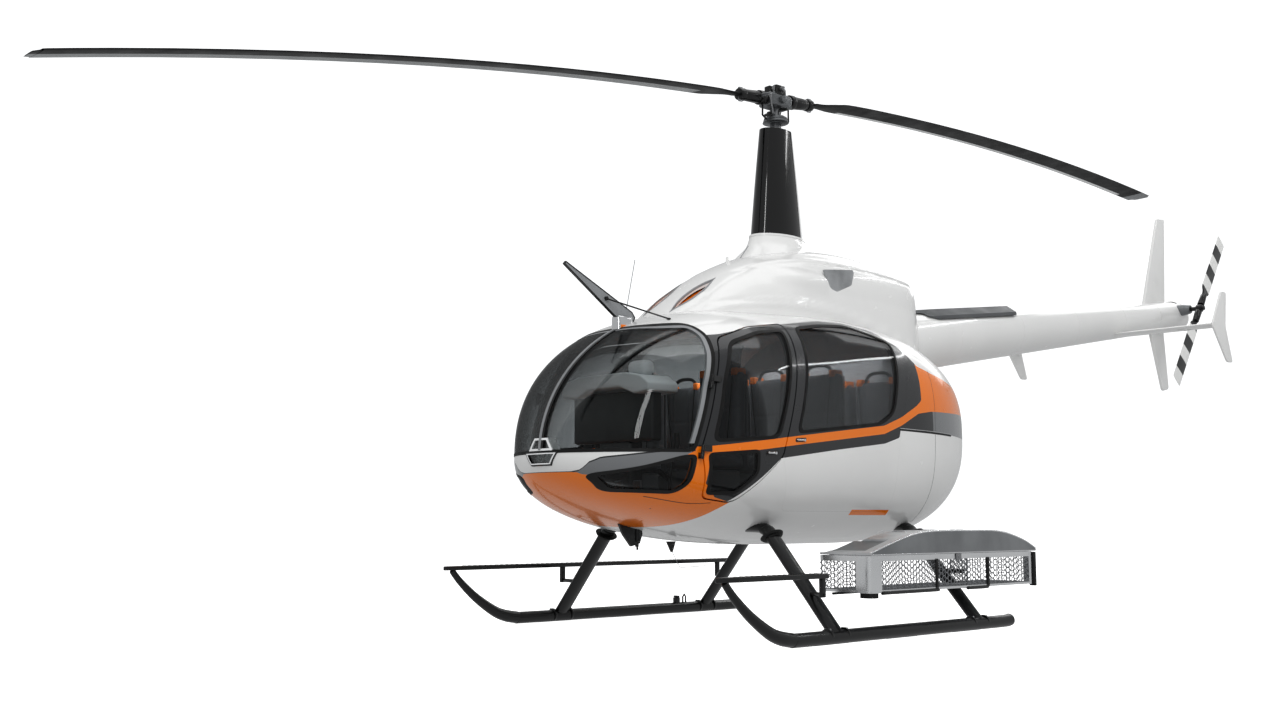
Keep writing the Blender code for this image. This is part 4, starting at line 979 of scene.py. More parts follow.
@dataclass
class Cabin:
    """The pod's skin panels, doors, windows and seals."""

    wall: float = 0.038
    glass: float = 0.010
    door_gap: float = 0.008
    shut_gap: float = 0.010
    post_half: float = 0.030
    seal_half: float = 0.011
    windscreen: Outline = ((-2.75, 1.255), (-1.800, 1.255), (-1.682, 1.66), (-1.588, 1.885), (-1.550, 2.03),
                           (-1.565, 2.125), (-1.72, 2.125), (-2.05, 2.30), (-2.75, 2.30))
    front_door: Outline = ((-1.755, 1.26), (-1.62, 1.72), (-1.495, 2.015), (-1.20, 2.118), (-0.797, 2.183),
                           (-1.130, 1.232), (-1.47, 0.925), (-1.685, 0.955))
    rear_door: Outline = ((-0.797, 2.183), (-0.40, 2.25), (0.0, 2.285), (0.36, 2.22), (0.43, 2.12),
                          (0.19, 1.46), (0.15, 1.20), (0.16, 0.875), (-1.02, 0.875), (-1.130, 1.232))
    front_window: Outline = ((-1.67, 1.32), (-1.565, 1.72), (-1.43, 1.985), (-1.15, 2.08), (-0.87, 2.125),
                             (-1.165, 1.36))
    lower_window: Outline = ((-1.70, 1.232), (-1.345, 1.262), (-1.345, 1.12), (-1.48, 0.99), (-1.665, 0.985))
    rear_window: Outline = ((-0.70, 2.155), (-0.40, 2.21), (-0.03, 2.245), (0.33, 2.145), (0.11, 1.59),
                            (-0.05, 1.50), (-0.97, 1.40))
    chin_window: Outline = ((-2.27, 1.10), (-2.16, 1.005), (-1.86, 0.99), (-1.805, 1.05), (-1.79, 1.22),
                            (-1.86, 1.215), (-2.07, 1.145))
    shell: Mesh = field(init=False)
    pane_shell: Mesh = field(init=False)
    seal_shell: Mesh = field(init=False)

    def __post_init__(self) -> None:
        """Make the three walls that all the panels are cut from."""
        self.shell = POD.shell(0.0, self.wall)
        self.pane_shell = POD.shell(0.0006, self.glass)
        self.seal_shell = POD.shell(-0.0025, 0.014)

    def space(self, outline: Outline, growth: float, radius: float, sides: int = 1) -> Mesh:
        """A cutter through one side, or through both.

        Args:
            outline: the opening on the side view.
            growth: how far outside that outline it reaches.
            radius: the rounding of its corners.
            sides: 1 for the port side, 2 for both.
        Returns:
            The cutter.
        """
        shape = offset_outline(outline, growth)
        if radius:
            shape = round_outline(shape, radius)
        return prism(Axis.SIDE, shape, 0.05 if sides == 1 else THROUGH[0], THROUGH[1], 2)

    def stretch(self, x0: float, x1: float) -> Mesh:
        """A block over the windscreen between two places across it."""
        return prism(Axis.PLAN, rectangle(x0, -2.7, x1, -1.3), 1.0, 2.5, 2)

    def shut_line(self) -> Mesh:
        """The slanted gap between the two doors.

        Returns:
            The cutter of that gap.
        """
        top, bottom = Vector(self.rear_door[0]), Vector(self.rear_door[-1])
        along = (top - bottom).normalized()
        across = Vector((along.y, -along.x)) * self.shut_gap / 2
        low, high = bottom - along * 0.02, top + along * 0.02
        return prism(Axis.SIDE, [low - across, high - across, high + across, low + across], *THROUGH, 2)

    def panel(self, outline: Outline, openings: Sequence[Mesh]) -> Mesh:
        """A piece of the skin across both sides with the openings cut out."""
        keep = prism(Axis.SIDE, offset_outline(outline, -FIT / 2), *THROUGH, 2)
        return carved(self.shell, [(KEEP, keep)] + [(CUT, mesh) for mesh in openings])

    def build_skin(self) -> None:
        """The four fixed panels, with door and window openings."""
        front_door = self.space(self.front_door, self.door_gap / 2, 0.05, 2)
        rear_door = self.space(self.rear_door, FIT, 0.05, 2)
        screen = self.space(self.windscreen, FIT, 0.04, 2)
        chin = self.space(self.chin_window, FIT, 0.04, 2)
        belt, meet = 1.255, 1.32
        nose_line = rectangle(-2.75, 0.2, -1.60, belt)
        belly_line = rectangle(-1.60, 0.2, 0.10, meet)
        roof_line = ((-2.75, belt), (-1.70, belt), (-1.70, meet), (-0.20, meet), (0.36, 2.18), (0.36, 3.0),
                     (-2.75, 3.0))
        aft_line = ((0.10, 0.2), (2.4, 0.2), (2.4, 3.0), (0.36, 3.0), (0.36, 2.18), (0.10, 1.2))
        lamp_line = ((-0.168, 1.27), (-0.102, 1.163), (0.102, 1.163), (0.168, 1.27))
        lamp = prism(Axis.FRONT, lamp_line, -2.75, -2.27, 2)
        finishes = (POD_PAINT, DARK_TRIM, RUBBER)
        put("nose_skin", self.panel(nose_line, (front_door, chin, lamp)), finishes, replaces=["nose_bowl"])
        put("belly_skin", self.panel(belly_line, (front_door, rear_door)), finishes, replaces=["belly_tub"])
        put("roof_skin", self.panel(roof_line, (front_door, rear_door, screen)), finishes,
            replaces=["roof_shell"])
        put("aft_skin", self.panel(aft_line, (rear_door,)), finishes, replaces=["aft_body"])

    def build_doors(self) -> None:
        """Both doors of each side; the rear pair is fixed."""
        shut = self.shut_line()
        front_openings = ((self.front_window, 0.06), (self.lower_window, 0.03))
        rear_openings = ((self.rear_window, 0.06),)
        for name, outline, growth, openings in (
                ("front_door", self.front_door, -self.door_gap / 2, front_openings),
                ("rear_door", self.rear_door, -FIT / 2, rear_openings)):
            cuts = [(KEEP, self.space(outline, growth, 0.05)), (CUT, shut)]
            cuts += [(CUT, self.space(window, 0.0, radius)) for window, radius in openings]
            for word, mesh in two_sides(carved(self.shell, cuts)):
                body = f"{name}_{word}" if name == "front_door" else AIRFRAME
                put(f"{name}_{word}_skin", mesh, (POD_PAINT, TRIM, RUBBER), body, [f"{name}_{word}"])

    def build_panes(self) -> None:
        """Windows and the rubber seals round them."""
        for name, outline, radius, moves in (("front_window", self.front_window, 0.06, True),
                                             ("lower_window", self.lower_window, 0.03, True),
                                             ("rear_window", self.rear_window, 0.06, False),
                                             ("chin_window", self.chin_window, 0.04, False)):
            pane = carved(self.pane_shell, [(KEEP, self.space(outline, -FIT, radius))])
            seal = carved(self.seal_shell, [
                (KEEP, self.space(outline, self.seal_half, radius + self.seal_half)),
                (CUT, self.space(outline, -self.seal_half, max(0.01, radius - self.seal_half)))])
            for (word, glass), (_, rim) in zip(two_sides(pane), two_sides(seal)):
                body = f"front_door_{word}" if moves else AIRFRAME
                put(f"{name}_{word}_pane", glass, TINTED_GLASS, body, [f"{name}_{word}"])
                put(f"{name}_{word}_seal", rim, RUBBER, body)
        opening = self.space(self.windscreen, -FIT, 0.04, 2)
        half = self.stretch(self.post_half, THROUGH[1])
        for word, mesh in two_sides(carved(self.pane_shell, [(KEEP, opening), (KEEP, half)])):
            put(f"windscreen_{word}_pane", mesh, CLEAR_GLASS, replaces=[f"windscreen_{word}"])
        rim = carved(self.seal_shell, [
            (KEEP, self.space(self.windscreen, self.seal_half, 0.05, 2)),
            (CUT, self.space(self.windscreen, -self.seal_half, 0.03, 2))])
        put("windscreen_seal", rim, RUBBER)
        strip = self.stretch(-self.post_half, self.post_half)
        post = carved(POD.shell(-0.004, 0.030), [(KEEP, opening), (KEEP, strip)])
        put("windscreen_centre_post", post, BLACK_PAINT, replaces=["windscreen_post"])
        bead = carved(POD.shell(-0.009, 0.002), [(KEEP, self.space(self.windscreen, -.012, 0.04, 2)),
                                                 (KEEP, self.stretch(-.011, .011))])
        put("windscreen_post_bead", bead, (GREY_PAINT, DARK_TRIM, GREY_PAINT))
        border = carved(POD.shell(-0.0012, 0.012), [
            (KEEP, self.space(self.windscreen, -self.seal_half, 0.03, 2)),
            (CUT, self.space(self.windscreen, -.034, 0.03, 2)),
            (CUT, prism(Axis.SIDE, rectangle(-2.8, 1.0, -1.0, 1.30), *THROUGH))])
        put("windscreen_border", border, (GREY_PAINT, DARK_TRIM, DARK_TRIM))

    def build(self) -> None:
        """Make the whole cabin."""
        self.build_skin()
        self.build_doors()
        self.build_panes()


# The engine cowling


@dataclass
class Cowling:
    """The fairing over the gearbox and engine, with its collar, inlets and side intakes."""

    rows: Outline = ((-1.52, .20, 2.13, 2.02, 2.5), (-1.29, .36, 2.315, 2.02, 2.5),
                     (-1.09, .43, 2.46, 2.05, 2.5), (-.88, .47, 2.595, 2.05, 2.5),
                     (-.66, .50, 2.71, 2.05, 2.6), (-.36, .52, 2.825, 2.05, 2.8), (0, .52, 2.895, 2.05, 3.2),
                     (.40, .51, 2.92, 2.02, 3.6), (.80, .49, 2.90, 1.95, 4.0), (1.10, .465, 2.88, 1.90, 4.4),
                     (1.27, .415, 2.865, 1.85, 4.4), (1.38, .35, 2.835, 1.80, 3.6),
                     (1.47, .25, 2.76, 1.80, 3.0), (1.52, .16, 2.62, 1.80, 2.5))
    collar: Outline = ((2.75, .34, .48), (2.84, .255, .385), (2.92, .19, .305), (3.00, .162, .272))
    fairing: Outline = ((3.0004, .155, .262), (3.45, .130, .212), (3.88, .100, .162))
    ridge: Outline = ((-1.30, 2.20), (-1.167, 2.341), (-1.073, 2.458), (-.957, 2.544), (-.828, 2.626),
                      (-.609, 2.70), (-.383, 2.745), (-.126, 2.778), (.339, 2.782), (.861, 2.775),
                      (1.01, 2.761), (1.6, 2.72))
    fillet: Outline = ((-1.30, 2.28), (-1.201, 2.321), (-1.015, 2.364), (-.803, 2.395), (-.529, 2.42),
                       (-.243, 2.422), (-.007, 2.411), (.237, 2.391), (.488, 2.354), (.747, 2.301),
                       (.947, 2.256), (1.6, 2.10))
    intake: Outline = ((-.03, 2.700), (.331, 2.743), (.345, 2.722), (.313, 2.619), (.119, 2.543),
                       (.052, 2.560))
    inlet: Four = (0.155, -1.115, 0.048, 0.205)
    wall: float = 0.020
    arch_steps: int = 112
    stretch_steps: int = 9

    def level(self, line: Outline, y: float) -> float:
        """A sculpted line's height at a station.

        Args:
            line: the line, as stations and heights.
            y: the station.
        Returns:
            The height.
        """
        for (y0, z0), (y1, z1) in zip(line, line[1:]):
            if y0 <= y <= y1:
                return z0 + (z1 - z0) * (y - y0) / (y1 - y0)
        return line[0][1] if y < line[0][0] else line[-1][1]

    def swell(self, y: float, z: float) -> float:
        """How far the side stands out: the shoulder, the bulge ahead of the intake and the foot's groove.

        Args:
            y: the station.
            z: the height.
        Returns:
            The distance outwards.
        """
        fade = max(0.0, min(1.0, (y + 1.32) / 0.25)) * max(0.0, min(1.0, (1.45 - y) / 0.25))
        above = z - self.level(self.ridge, y)
        out = 0.014 * math.exp(-(above / 0.022) ** 2)
        if above < 0:
            out -= 0.020 * min(1.0, -above / 0.04) * max(0.0, 1 - max(0.0, -above - 0.10) / 0.15)
        behind = max(0.0, y + 0.02) / 0.05
        bulge = math.exp(-((y + 0.22) / 0.36) ** 2 - ((z - 2.625) / 0.085) ** 2 - behind ** 2)
        foot = z - self.level(self.fillet, y)
        groove = 0.012 * math.exp(-((foot + 0.040) / 0.020) ** 2)
        out += 0.052 * bulge + 0.008 * math.exp(-(foot / 0.014) ** 2) - groove
        return out * fade

    def ring(self, row: Sequence[float], growth: float, low: float, sculpt: bool) -> list[Vector]:
        """A closed arch at a station.

        Args:
            row: station, half width, top, base and squareness.
            growth: how far outside the drawn skin.
            low: how far below the base it ends.
            sculpt: add the side's sculpted lines.
        Returns:
            The ring's points.
        """
        y, half, top, base, squareness = row
        power = 2 / squareness
        points = []
        for k in range(self.arch_steps + 1):
            angle = math.pi * k / self.arch_steps
            c, s = math.cos(angle), math.sin(angle)
            x = (half + growth) * math.copysign(abs(c) ** power, c)
            z = base - low + (top + growth - base + low) * max(0.0, s) ** power
            if sculpt:
                side = min(1.0, abs(x) / half / 0.55)
                x += math.copysign(self.swell(y, z) * side * side, x)
            points.append(Vector((x, y, z)))
        return points

    def solid(self, growth: float, low: float = 0.0, trim: int = 0, index: int = 0,
              sculpt: bool = True) -> Mesh:
        """The cowling as a closed solid.

        Args:
            growth: how far outside the drawn skin.
            low: how far below the base it ends.
            trim: rows left off at each end.
            index: the material slot of its faces.
            sculpt: add the side's sculpted lines.
        Returns:
            The solid.
        """
        rows = smooth_path(self.rows[trim:len(self.rows) - trim], self.stretch_steps)
        bm = loft([self.ring(row, growth, low, sculpt) for row in rows])
        for face in bm.faces:
            face.material_index = index
        return as_mesh(bm)

    def ovals(self, rows: Outline, sides: int = 72) -> Mesh:
        """A closed solid through ovals given as level, half width and half length."""
        return as_mesh(loft([[Vector((hx * math.cos(a), hy * math.sin(a), z)) for a in turns(sides)]
                             for z, hx, hy in smooth_path(rows, 8)]))

    def almond(self, growth: float) -> list[Two]:
        """A front inlet's outline in plan.

        Args:
            growth: how far outside the inlet.
        Returns:
            The outline's points.
        """
        x, y, half_width, half_length = self.inlet
        points = []
        for angle in turns(24):
            along, across = math.cos(angle), math.sin(angle)
            points.append((x + (half_width + growth) * across * (1 - abs(along) ** 2.5) + 0.020 * along,
                           y + (half_length + growth) * along))
        return points

    def inlet_cut(self, growth: float, index: int = 0) -> Mesh:
        """A column through the roof, of a front inlet's outline."""
        return prism(Axis.PLAN, self.almond(growth), 2.2, 2.8, index)

    def build(self) -> None:
        """Make the skin, the inlets, the intakes, the fairing and the exhaust."""
        inside = self.solid(-self.wall, 0.3, 1, 1, False)
        hole = self.inlet_cut(0.0, 2)
        outline = round_outline(self.intake, 0.02, 4)
        recess = prism(Axis.SIDE, outline, 0.475, 0.7, 2)
        bore = disc((0, 0, 2.6), (0, 0, 3.1), 0.12, edge=0)
        cuts = [(ADD, self.ovals(self.collar))]
        cuts += [(CUT, mesh) for mesh in (inside, bore, hole, mirrored(hole), recess, mirrored(recess),
                                          POD.surface(-FIT, 1),
                                          disc((0, 1.30, 2.67), (0, 1.60, 2.67), 0.064, edge=0))]
        put("cowling_skin", carved(self.solid(0.0), cuts), (WHITE_PAINT, DARK_TRIM, WHITE_PAINT),
            replaces=["cowling"], sharp=40)
        rim = carved(self.solid(0.004), [(KEEP, self.inlet_cut(0.013)), (CUT, self.inlet_cut(-0.002)),
                                         (CUT, self.solid(-0.010))])
        duct = carved(self.solid(-0.045), [(KEEP, self.inlet_cut(0.030)), (CUT, self.solid(-0.052))])
        grille = prism(Axis.SIDE, outline, 0.470, 0.482)
        for (word, ring), (_, hollow), (_, screen) in zip(two_sides(rim), two_sides(duct), two_sides(grille)):
            put(f"inlet_rim_{word}", ring, GREY_PAINT)
            put(f"inlet_duct_{word}", hollow, ORANGE_PAINT)
            put(f"intake_screen_{word}", screen, SCREEN)
        put("mast_fairing_shell", self.ovals(self.fairing), BLACK_GLOSS, replaces=["mast_fairing"],
            sharp=50)
        band = self.ovals(((2.9990, .166, .276), (3.0150, .165, .275)))
        put("collar_band", band, WHITE_PAINT)
        pipe = carved(disc((0, 1.20, 2.655), (0, 1.565, 2.668), 0.062, sides=48, edge=0.03), [
            (CUT, disc((0, 1.23, 2.656), (0, 1.62, 2.670), 0.056, sides=48, edge=0))])
        put("exhaust_stub", pipe, BURNT, replaces=["exhaust_pipe"])


# The rotors


def aerofoil(steps: int) -> list[tuple[int, float, float]]:
    """A closed section, back along the top and forward along the bottom.

    Args:
        steps: stretches along each side.
    Returns:
        For each point 1 above or -1 below, its share of the chord, and its half thickness for
        a thickness of one.
    """
    section = []
    for sign in (1, -1):
        for k in range(steps + 1):
            if sign < 0 and k in (0, steps):
                continue
            t = (k if sign > 0 else steps - k) / steps
            t = (1 - math.cos(math.pi * t)) / 2
            h = 1.48 * math.sqrt(t) - 0.63 * t - 1.76 * t * t + 1.42 * t ** 3 - 0.5 * t ** 4
            section.append((sign, t, max(h, 0.0)))
    return section


@dataclass
class Blade:
    """One blade of a rotor, as an aerofoil lofted along its bent span."""

    stations: Outline
    place: FrameAt
    steps: int = 22
    edge: float = 0.0008

    def build(self) -> Mesh:
        """Loft the blade and lay a map over it.

        Returns:
            The mesh, with metres out along U, and V from 0 at the leading edge to 1 above and -1 below.
        """
        rings, marks = [], []
        rows = smooth_path(self.stations, 4)
        for r, chord, thick, shift in rows:
            centre, nose, up = self.place(r)
            ring, mark = [], []
            for sign, t, h in aerofoil(self.steps):
                ring.append(centre + nose * (chord * (0.30 - t) + shift)
                            + up * (sign * thick * h + self.edge * sign))
                mark.append((r, sign * t))
            rings.append(ring)
            marks.append(mark)
        bm = loft(rings)
        layer = bm.loops.layers.uv.new("blade")
        bm.verts.index_update()
        flat = [m for mark in marks for m in mark]
        for face in bm.faces:
            for loop in face.loops:
                loop[layer].uv = flat[loop.vert.index]
        return as_mesh(bm)


@dataclass
class MainRotor:
    """The teetering head, its swashplate and controls, and two long blades."""

    radius: float = 5.60
    chord: float = 0.25
    root: float = 0.42
    swashplate: float = 3.975
    blades: Sequence[BladeRow] = (
        ("main_blade_forward", 182.6, -0.0787, -0.01509, -0.07),
        ("main_blade_aft", 2.6, 0.1019, -0.01562, 0.0))
    azimuth: float = -2.6
    body: str = "main_rotor"

    def point(self, blade: BladeRow, r: float) -> Vector:
        """A point on a blade's line."""
        _, azimuth, slope, droop, _ = blade
        angle = math.radians(azimuth)
        return Vector((r * math.sin(angle), r * math.cos(angle), HUB_Z + slope * r + droop * r * r))

    def frame_at(self, blade: BladeRow) -> FrameAt:
        """The blade's middle, its way forward and its way up at each radius.

        Args:
            blade: the blade's row.
        Returns:
            A function from a radius to the three.
        """
        _, azimuth, slope, droop, pitch = blade
        out = Vector((math.sin(math.radians(azimuth)), math.cos(math.radians(azimuth)), 0))

        def at(r: float) -> tuple[Vector, Vector, Vector]:
            """The frame at one radius.

            Args:
                r: the radius.
            Returns:
                The middle, the way forward and the way up.
            """
            ahead = Vector((0, 0, 1)).cross(out)
            span = (out + Vector((0, 0, slope + 2 * droop * r))).normalized()
            feather = Matrix.Rotation(pitch, 3, span)
            return self.point(blade, r), feather @ ahead, feather @ span.cross(ahead)

        return at

    def build_blades(self) -> None:
        """Both blades, each in its own stripes."""
        edge = self.radius
        stations = ((self.root, .11, .024, .0), (.50, .12, .024, .0), (.62, .20, .020, .0),
                    (.78, self.chord, .016, .0), (1.6, self.chord, .015, .0), (2.8, self.chord, .015, .0),
                    (4.2, self.chord, .015, .0), (edge - .16, self.chord, .014, .0),
                    (edge - .06, self.chord * .9, .011, -.008), (edge, self.chord * .62, .006, -.030))
        for blade, finish in zip(self.blades, (FORWARD_BLADE, AFT_BLADE)):
            mesh = Blade(stations, self.frame_at(blade)).build()
            put(blade[0] + "_skin", mesh, finish, self.body, [blade[0]], 30)

    def build_head(self) -> None:
        """Hub, grips, pitch horns and links, swashplate and mast."""
        turn = Matrix.Translation((0, 0, HUB_Z)) @ Matrix.Rotation(math.radians(self.azimuth), 4, "Z")
        yoke = joined([rounded_box((-.075, -.12, -.069), (.075, .12, .030), .016),
                       rounded_box((-.055, -.075, .026), (.055, .075, .052), .010),
                       disc((-.100, 0, -.012), (.100, 0, -.012), .030),
                       disc((0, 0, -.10), (0, 0, .060), .040)])
        put("rotor_yoke", moved(yoke, turn), CAST, self.body, ["rotor_hub"])
        cheeks = [rounded_box((x - .012, -.052, .028), (x + .012, .052, .108), .006) for x in (-.052, .052)]
        cheeks += [rounded_box((-.030, y - .016, .045), (.030, y + .016, .098), .006) for y in (-.080, .080)]
        put("rotor_cheek_plates", moved(joined(cheeks), turn), BLACK_PAINT, self.body)
        pivots = joined([disc((-.092, 0, .076), (.092, 0, .076), .019, sides=28),
                         disc((0, 0, .05), (0, 0, .118), .026),
                         disc((0, 0, .112), (0, 0, .126), .017, sides=6)])
        put("rotor_teeter_bolt", moved(pivots, turn), STEEL, self.body)
        loops = [tube([(0, side * .055, -.02), (0, side * .148, -.035), (0, side * .150, -.15),
                       (0, side * .105, -.175)], .0075, 12) for side in (-1, 1)]
        loops += [tube([(side * .05, 0, -.09), (side * .125, 0, -.10)], .012, 14) for side in (-1, 1)]
        put("rotor_drive_links", moved(joined(loops), turn), BLACK_PAINT, self.body)
        bolts = joined([disc((x, y, .050), (x, y, .062), .009, sides=6)
                        for x in (-.040, .040) for y in (-.058, .058)])
        put("rotor_yoke_bolts", moved(bolts, turn), STEEL, self.body)
        for blade in self.blades:
            name = blade[0].replace("main_blade", "grip")
            out = (self.point(blade, .40) - self.point(blade, .05)).normalized()
            ahead = Vector((0, 0, 1)).cross(out).normalized()
            grip = joined([disc(self.point(blade, a), self.point(blade, b), r0, r1)
                           for a, b, r0, r1 in ((.06, .16, .040, .052), (.15, .20, .058, .058),
                                                (.19, .37, .052, .044), (.36, .4188, .050, .047))])
            put(name + "_sleeve", grip, BLACK_PAINT, self.body)
            half = Vector((0, 0, .056))
            pins = joined([disc(self.point(blade, r) - half, self.point(blade, r) + half, .012, sides=16)
                           for r in (.385, .405)])
            put(name + "_pins", pins, STEEL, self.body)
            knee = self.point(blade, .20)
            horn = knee + ahead * .13
            foot = Vector((horn.x, horn.y, 0)).normalized() * .085
            foot.z = self.swashplate + .0232
            arm = tube([knee, knee + ahead * .07 + Vector((0, 0, .004)), horn], .016, 16, (1.2, 1.0, .8))
            put(name + "_horn", arm, CAST, self.body)
            rod = joined([tube([horn, horn.lerp(foot, .12), horn.lerp(foot, .2), horn.lerp(foot, .8),
                                horn.lerp(foot, .88), foot], .0085, 14, (1.3, 1.3, .75, .75, 1.3, 1.3)),
                          disc(horn - ahead * .016, horn + ahead * .012, .014)])
            put(name + "_pitch_link", rod, STEEL, self.body)
        level = self.swashplate
        plates = joined([disc((0, 0, level - .025), (0, 0, level - .006), .105, .098, 48),
                         disc((0, 0, level - .004), (0, 0, level + .015), .098, .092, 48),
                         disc((0, 0, level - .03), (0, 0, level + .03), .060, sides=40)])
        put("swashplate_rings", plates, CAST, self.body)
        scissors = joined([rounded_box((-.016, -.090, level + .012), (.016, -.060, level + .055), .005),
                           rounded_box((-.016, .060, level + .012), (.016, .090, level + .055), .005)])
        put("scissor_links", scissors, BLACK_PAINT, self.body)
        shaft = disc((0, 0, MAST_FOOT_Z), (0, 0, HUB_Z - .07), .045, sides=48, edge=.05)
        put("mast_tube", shaft, STEEL, self.body, ["rotor_mast"])

    def build(self) -> None:
        """Make the head and the blades."""
        self.build_head()
        self.build_blades()


@dataclass
class Tail:
    """The boom, its fin, stabiliser and endplates, and the tail rotor."""

    start: Three = (0.0, 1.30, 2.282)
    end: Three = (0.0, 7.0, 3.142)
    radii: Two = (0.264, 0.155)
    fin: Outline = ((6.14, 3.10), (6.59, 4.21), (6.77, 4.23), (6.67, 3.10), (6.62, 2.95), (6.69, 2.27),
                    (6.54, 2.24), (6.27, 2.95))
    endplate: Outline = ((5.46, 3.10), (5.58, 3.10), (5.53, 2.75), (5.66, 2.39), (5.53, 2.385), (5.22, 2.735))
    tip: float = 1.145
    hub: Three = (0.361, 6.786, 3.16)
    rotor: float = 1.085
    azimuth: float = 52.4
    body: str = "tail_rotor"

    def at(self, t: float) -> tuple[Vector, float]:
        """The boom's middle and radius at a share of its length."""
        radius = self.radii[0] + (self.radii[1] - self.radii[0]) * t
        return Vector(self.start).lerp(Vector(self.end), t), radius

    def hoop(self, t: float, growth: float, rake: float = 0.0, sides: int = 72) -> list[Vector]:
        """A ring round the boom.

        Args:
            t: the share of the boom's length.
            growth: how far outside its skin.
            rake: how far the ring leans forward at its top.
            sides: its points.
        Returns:
            The ring's points.
        """
        centre, radius = self.at(t)
        radius += growth
        return [Vector((radius * math.cos(a), centre.y - rake * (0.45 + math.sin(a)),
                        centre.z + radius * math.sin(a)))
                for a in turns(sides)]

    def build_boom(self) -> None:
        """The tapered tube cut to the pod, its bands and its end cap."""
        rings = [self.hoop(t, 0.0) for t in (0.0, 0.2, 0.4, 0.6, 0.8, 0.97)] + [self.hoop(1.0, -.003, .10)]
        boom = carved(as_mesh(loft(rings)), [(CUT, POD.surface(-FIT, 0))])
        put("boom_skin", boom, WHITE_PAINT, replaces=["tail_boom"], sharp=45)
        profile = ((-.0016, -.002), (-.0014, .0011), (.0014, .0011), (.0016, -.002))
        bands = [as_mesh(loft([self.hoop(t + step, growth) for step, growth in profile]))
                 for t in (.16, .35, .54, .72, .87)]
        put("boom_bands", joined(bands), WHITE_PAINT)
        cap = as_mesh(loft([self.hoop(.985, -.012, .09), self.hoop(1.0, -.012, .10)]))
        put("boom_end_cap", cap, DARK_TRIM)

    def plate(self, name: str, outline: Outline, x0: float, x1: float, node: str, round_by: float) -> None:
        """A surface with rounded edges, from its side view."""
        shape = prism(Axis.SIDE, round_outline(outline, .035, 5), x0, x1)
        put(name, softened(shape, round_by, 4), WHITE_PAINT, replaces=[node], sharp=50)

    def build_surfaces(self) -> None:
        """Fin, stabiliser and endplates."""
        self.plate("fin_skin", self.fin, -.016, .016, "fin", .0145)
        for word, side in (("left", 1), ("right", -1)):
            xs = sorted((side * (self.tip + FIT), side * (self.tip + FIT + .020)))
            self.plate(f"endplate_{word}_skin", self.endplate, xs[0], xs[1], f"endplate_{word}", .0085)
        section = [(5.22 + .31 * t, 2.745 + sign * (.0185 * h * 1.9 + .0008)) for sign, t, h in aerofoil(14)]
        wing = prism(Axis.SIDE, section, -self.tip, self.tip)
        put("stabiliser_skin", wing, WHITE_PAINT, replaces=["stabiliser"], sharp=50)

    def build_rotor(self) -> None:
        """Gearbox, shaft, grips and the two striped blades."""
        x, y, z = self.hub
        bolt_reach = .052
        places = [(y + bolt_reach * math.cos(a), z + bolt_reach * math.sin(a)) for a in turns(8)]
        bolts = [disc((.198, *place), (.210, *place), .006, sides=6) for place in places]
        box = joined([disc((.09, y, z), (.20, y, z), .064, .060, 40),
                      disc((.195, y, z), (.262, y, z), .060, .046, 40)] + bolts)
        put("tail_gearbox_case", box, CAST, replaces=["tail_gearbox"])
        out = Vector((0, math.cos(math.radians(self.azimuth)), math.sin(math.radians(self.azimuth))))
        hub = Vector(self.hub)
        head = joined([disc((.2624, y, z), (x + .055, y, z), .024),
                       disc((x - .03, y, z), (x + .03, y, z), .042),
                       disc(hub - out * .20, hub - out * .05, .034, .038),
                       disc(hub + out * .05, hub + out * .20, .038, .034),
                       rounded_box((x - .028, y - .030, z - .030), (x + .028, y + .030, z + .030), .010)])
        put("tail_rotor_head", head, BLACK_PAINT, self.body, ["tail_hub"])
        nut = joined([disc((x + .050, y, z), (x + .0548, y, z), .018, sides=6, edge=.3)])
        put("tail_rotor_nut", nut, STEEL, self.body)
        for name, sign in (("tail_blade_upper", 1), ("tail_blade_lower", -1)):
            way = out * sign
            ahead = Vector((0, -way.z, way.y))

            def place(r: float, way: Vector = way, ahead: Vector = ahead) -> tuple[Vector, Vector, Vector]:
                """The blade's frame at a radius."""
                return hub + way * r + ahead * .036, ahead, Vector((1, 0, 0))

            stations = ((.2004, .07, .022, -.022), (.24, .09, .018, -.014), (.30, .18, .010, .0),
                        (.60, .18, .0095, .0), (.95, .18, .009, .0), (1.06, .18, .008, .0),
                        (self.rotor, .168, .005, .0))
            put(name + "_skin", Blade(stations, place, 16).build(), TAIL_BLADE, self.body, [name],
                30)

    def build(self) -> None:
        """Make the tail."""
        self.build_boom()
        self.build_surfaces()
        self.build_rotor()


# The landing gear


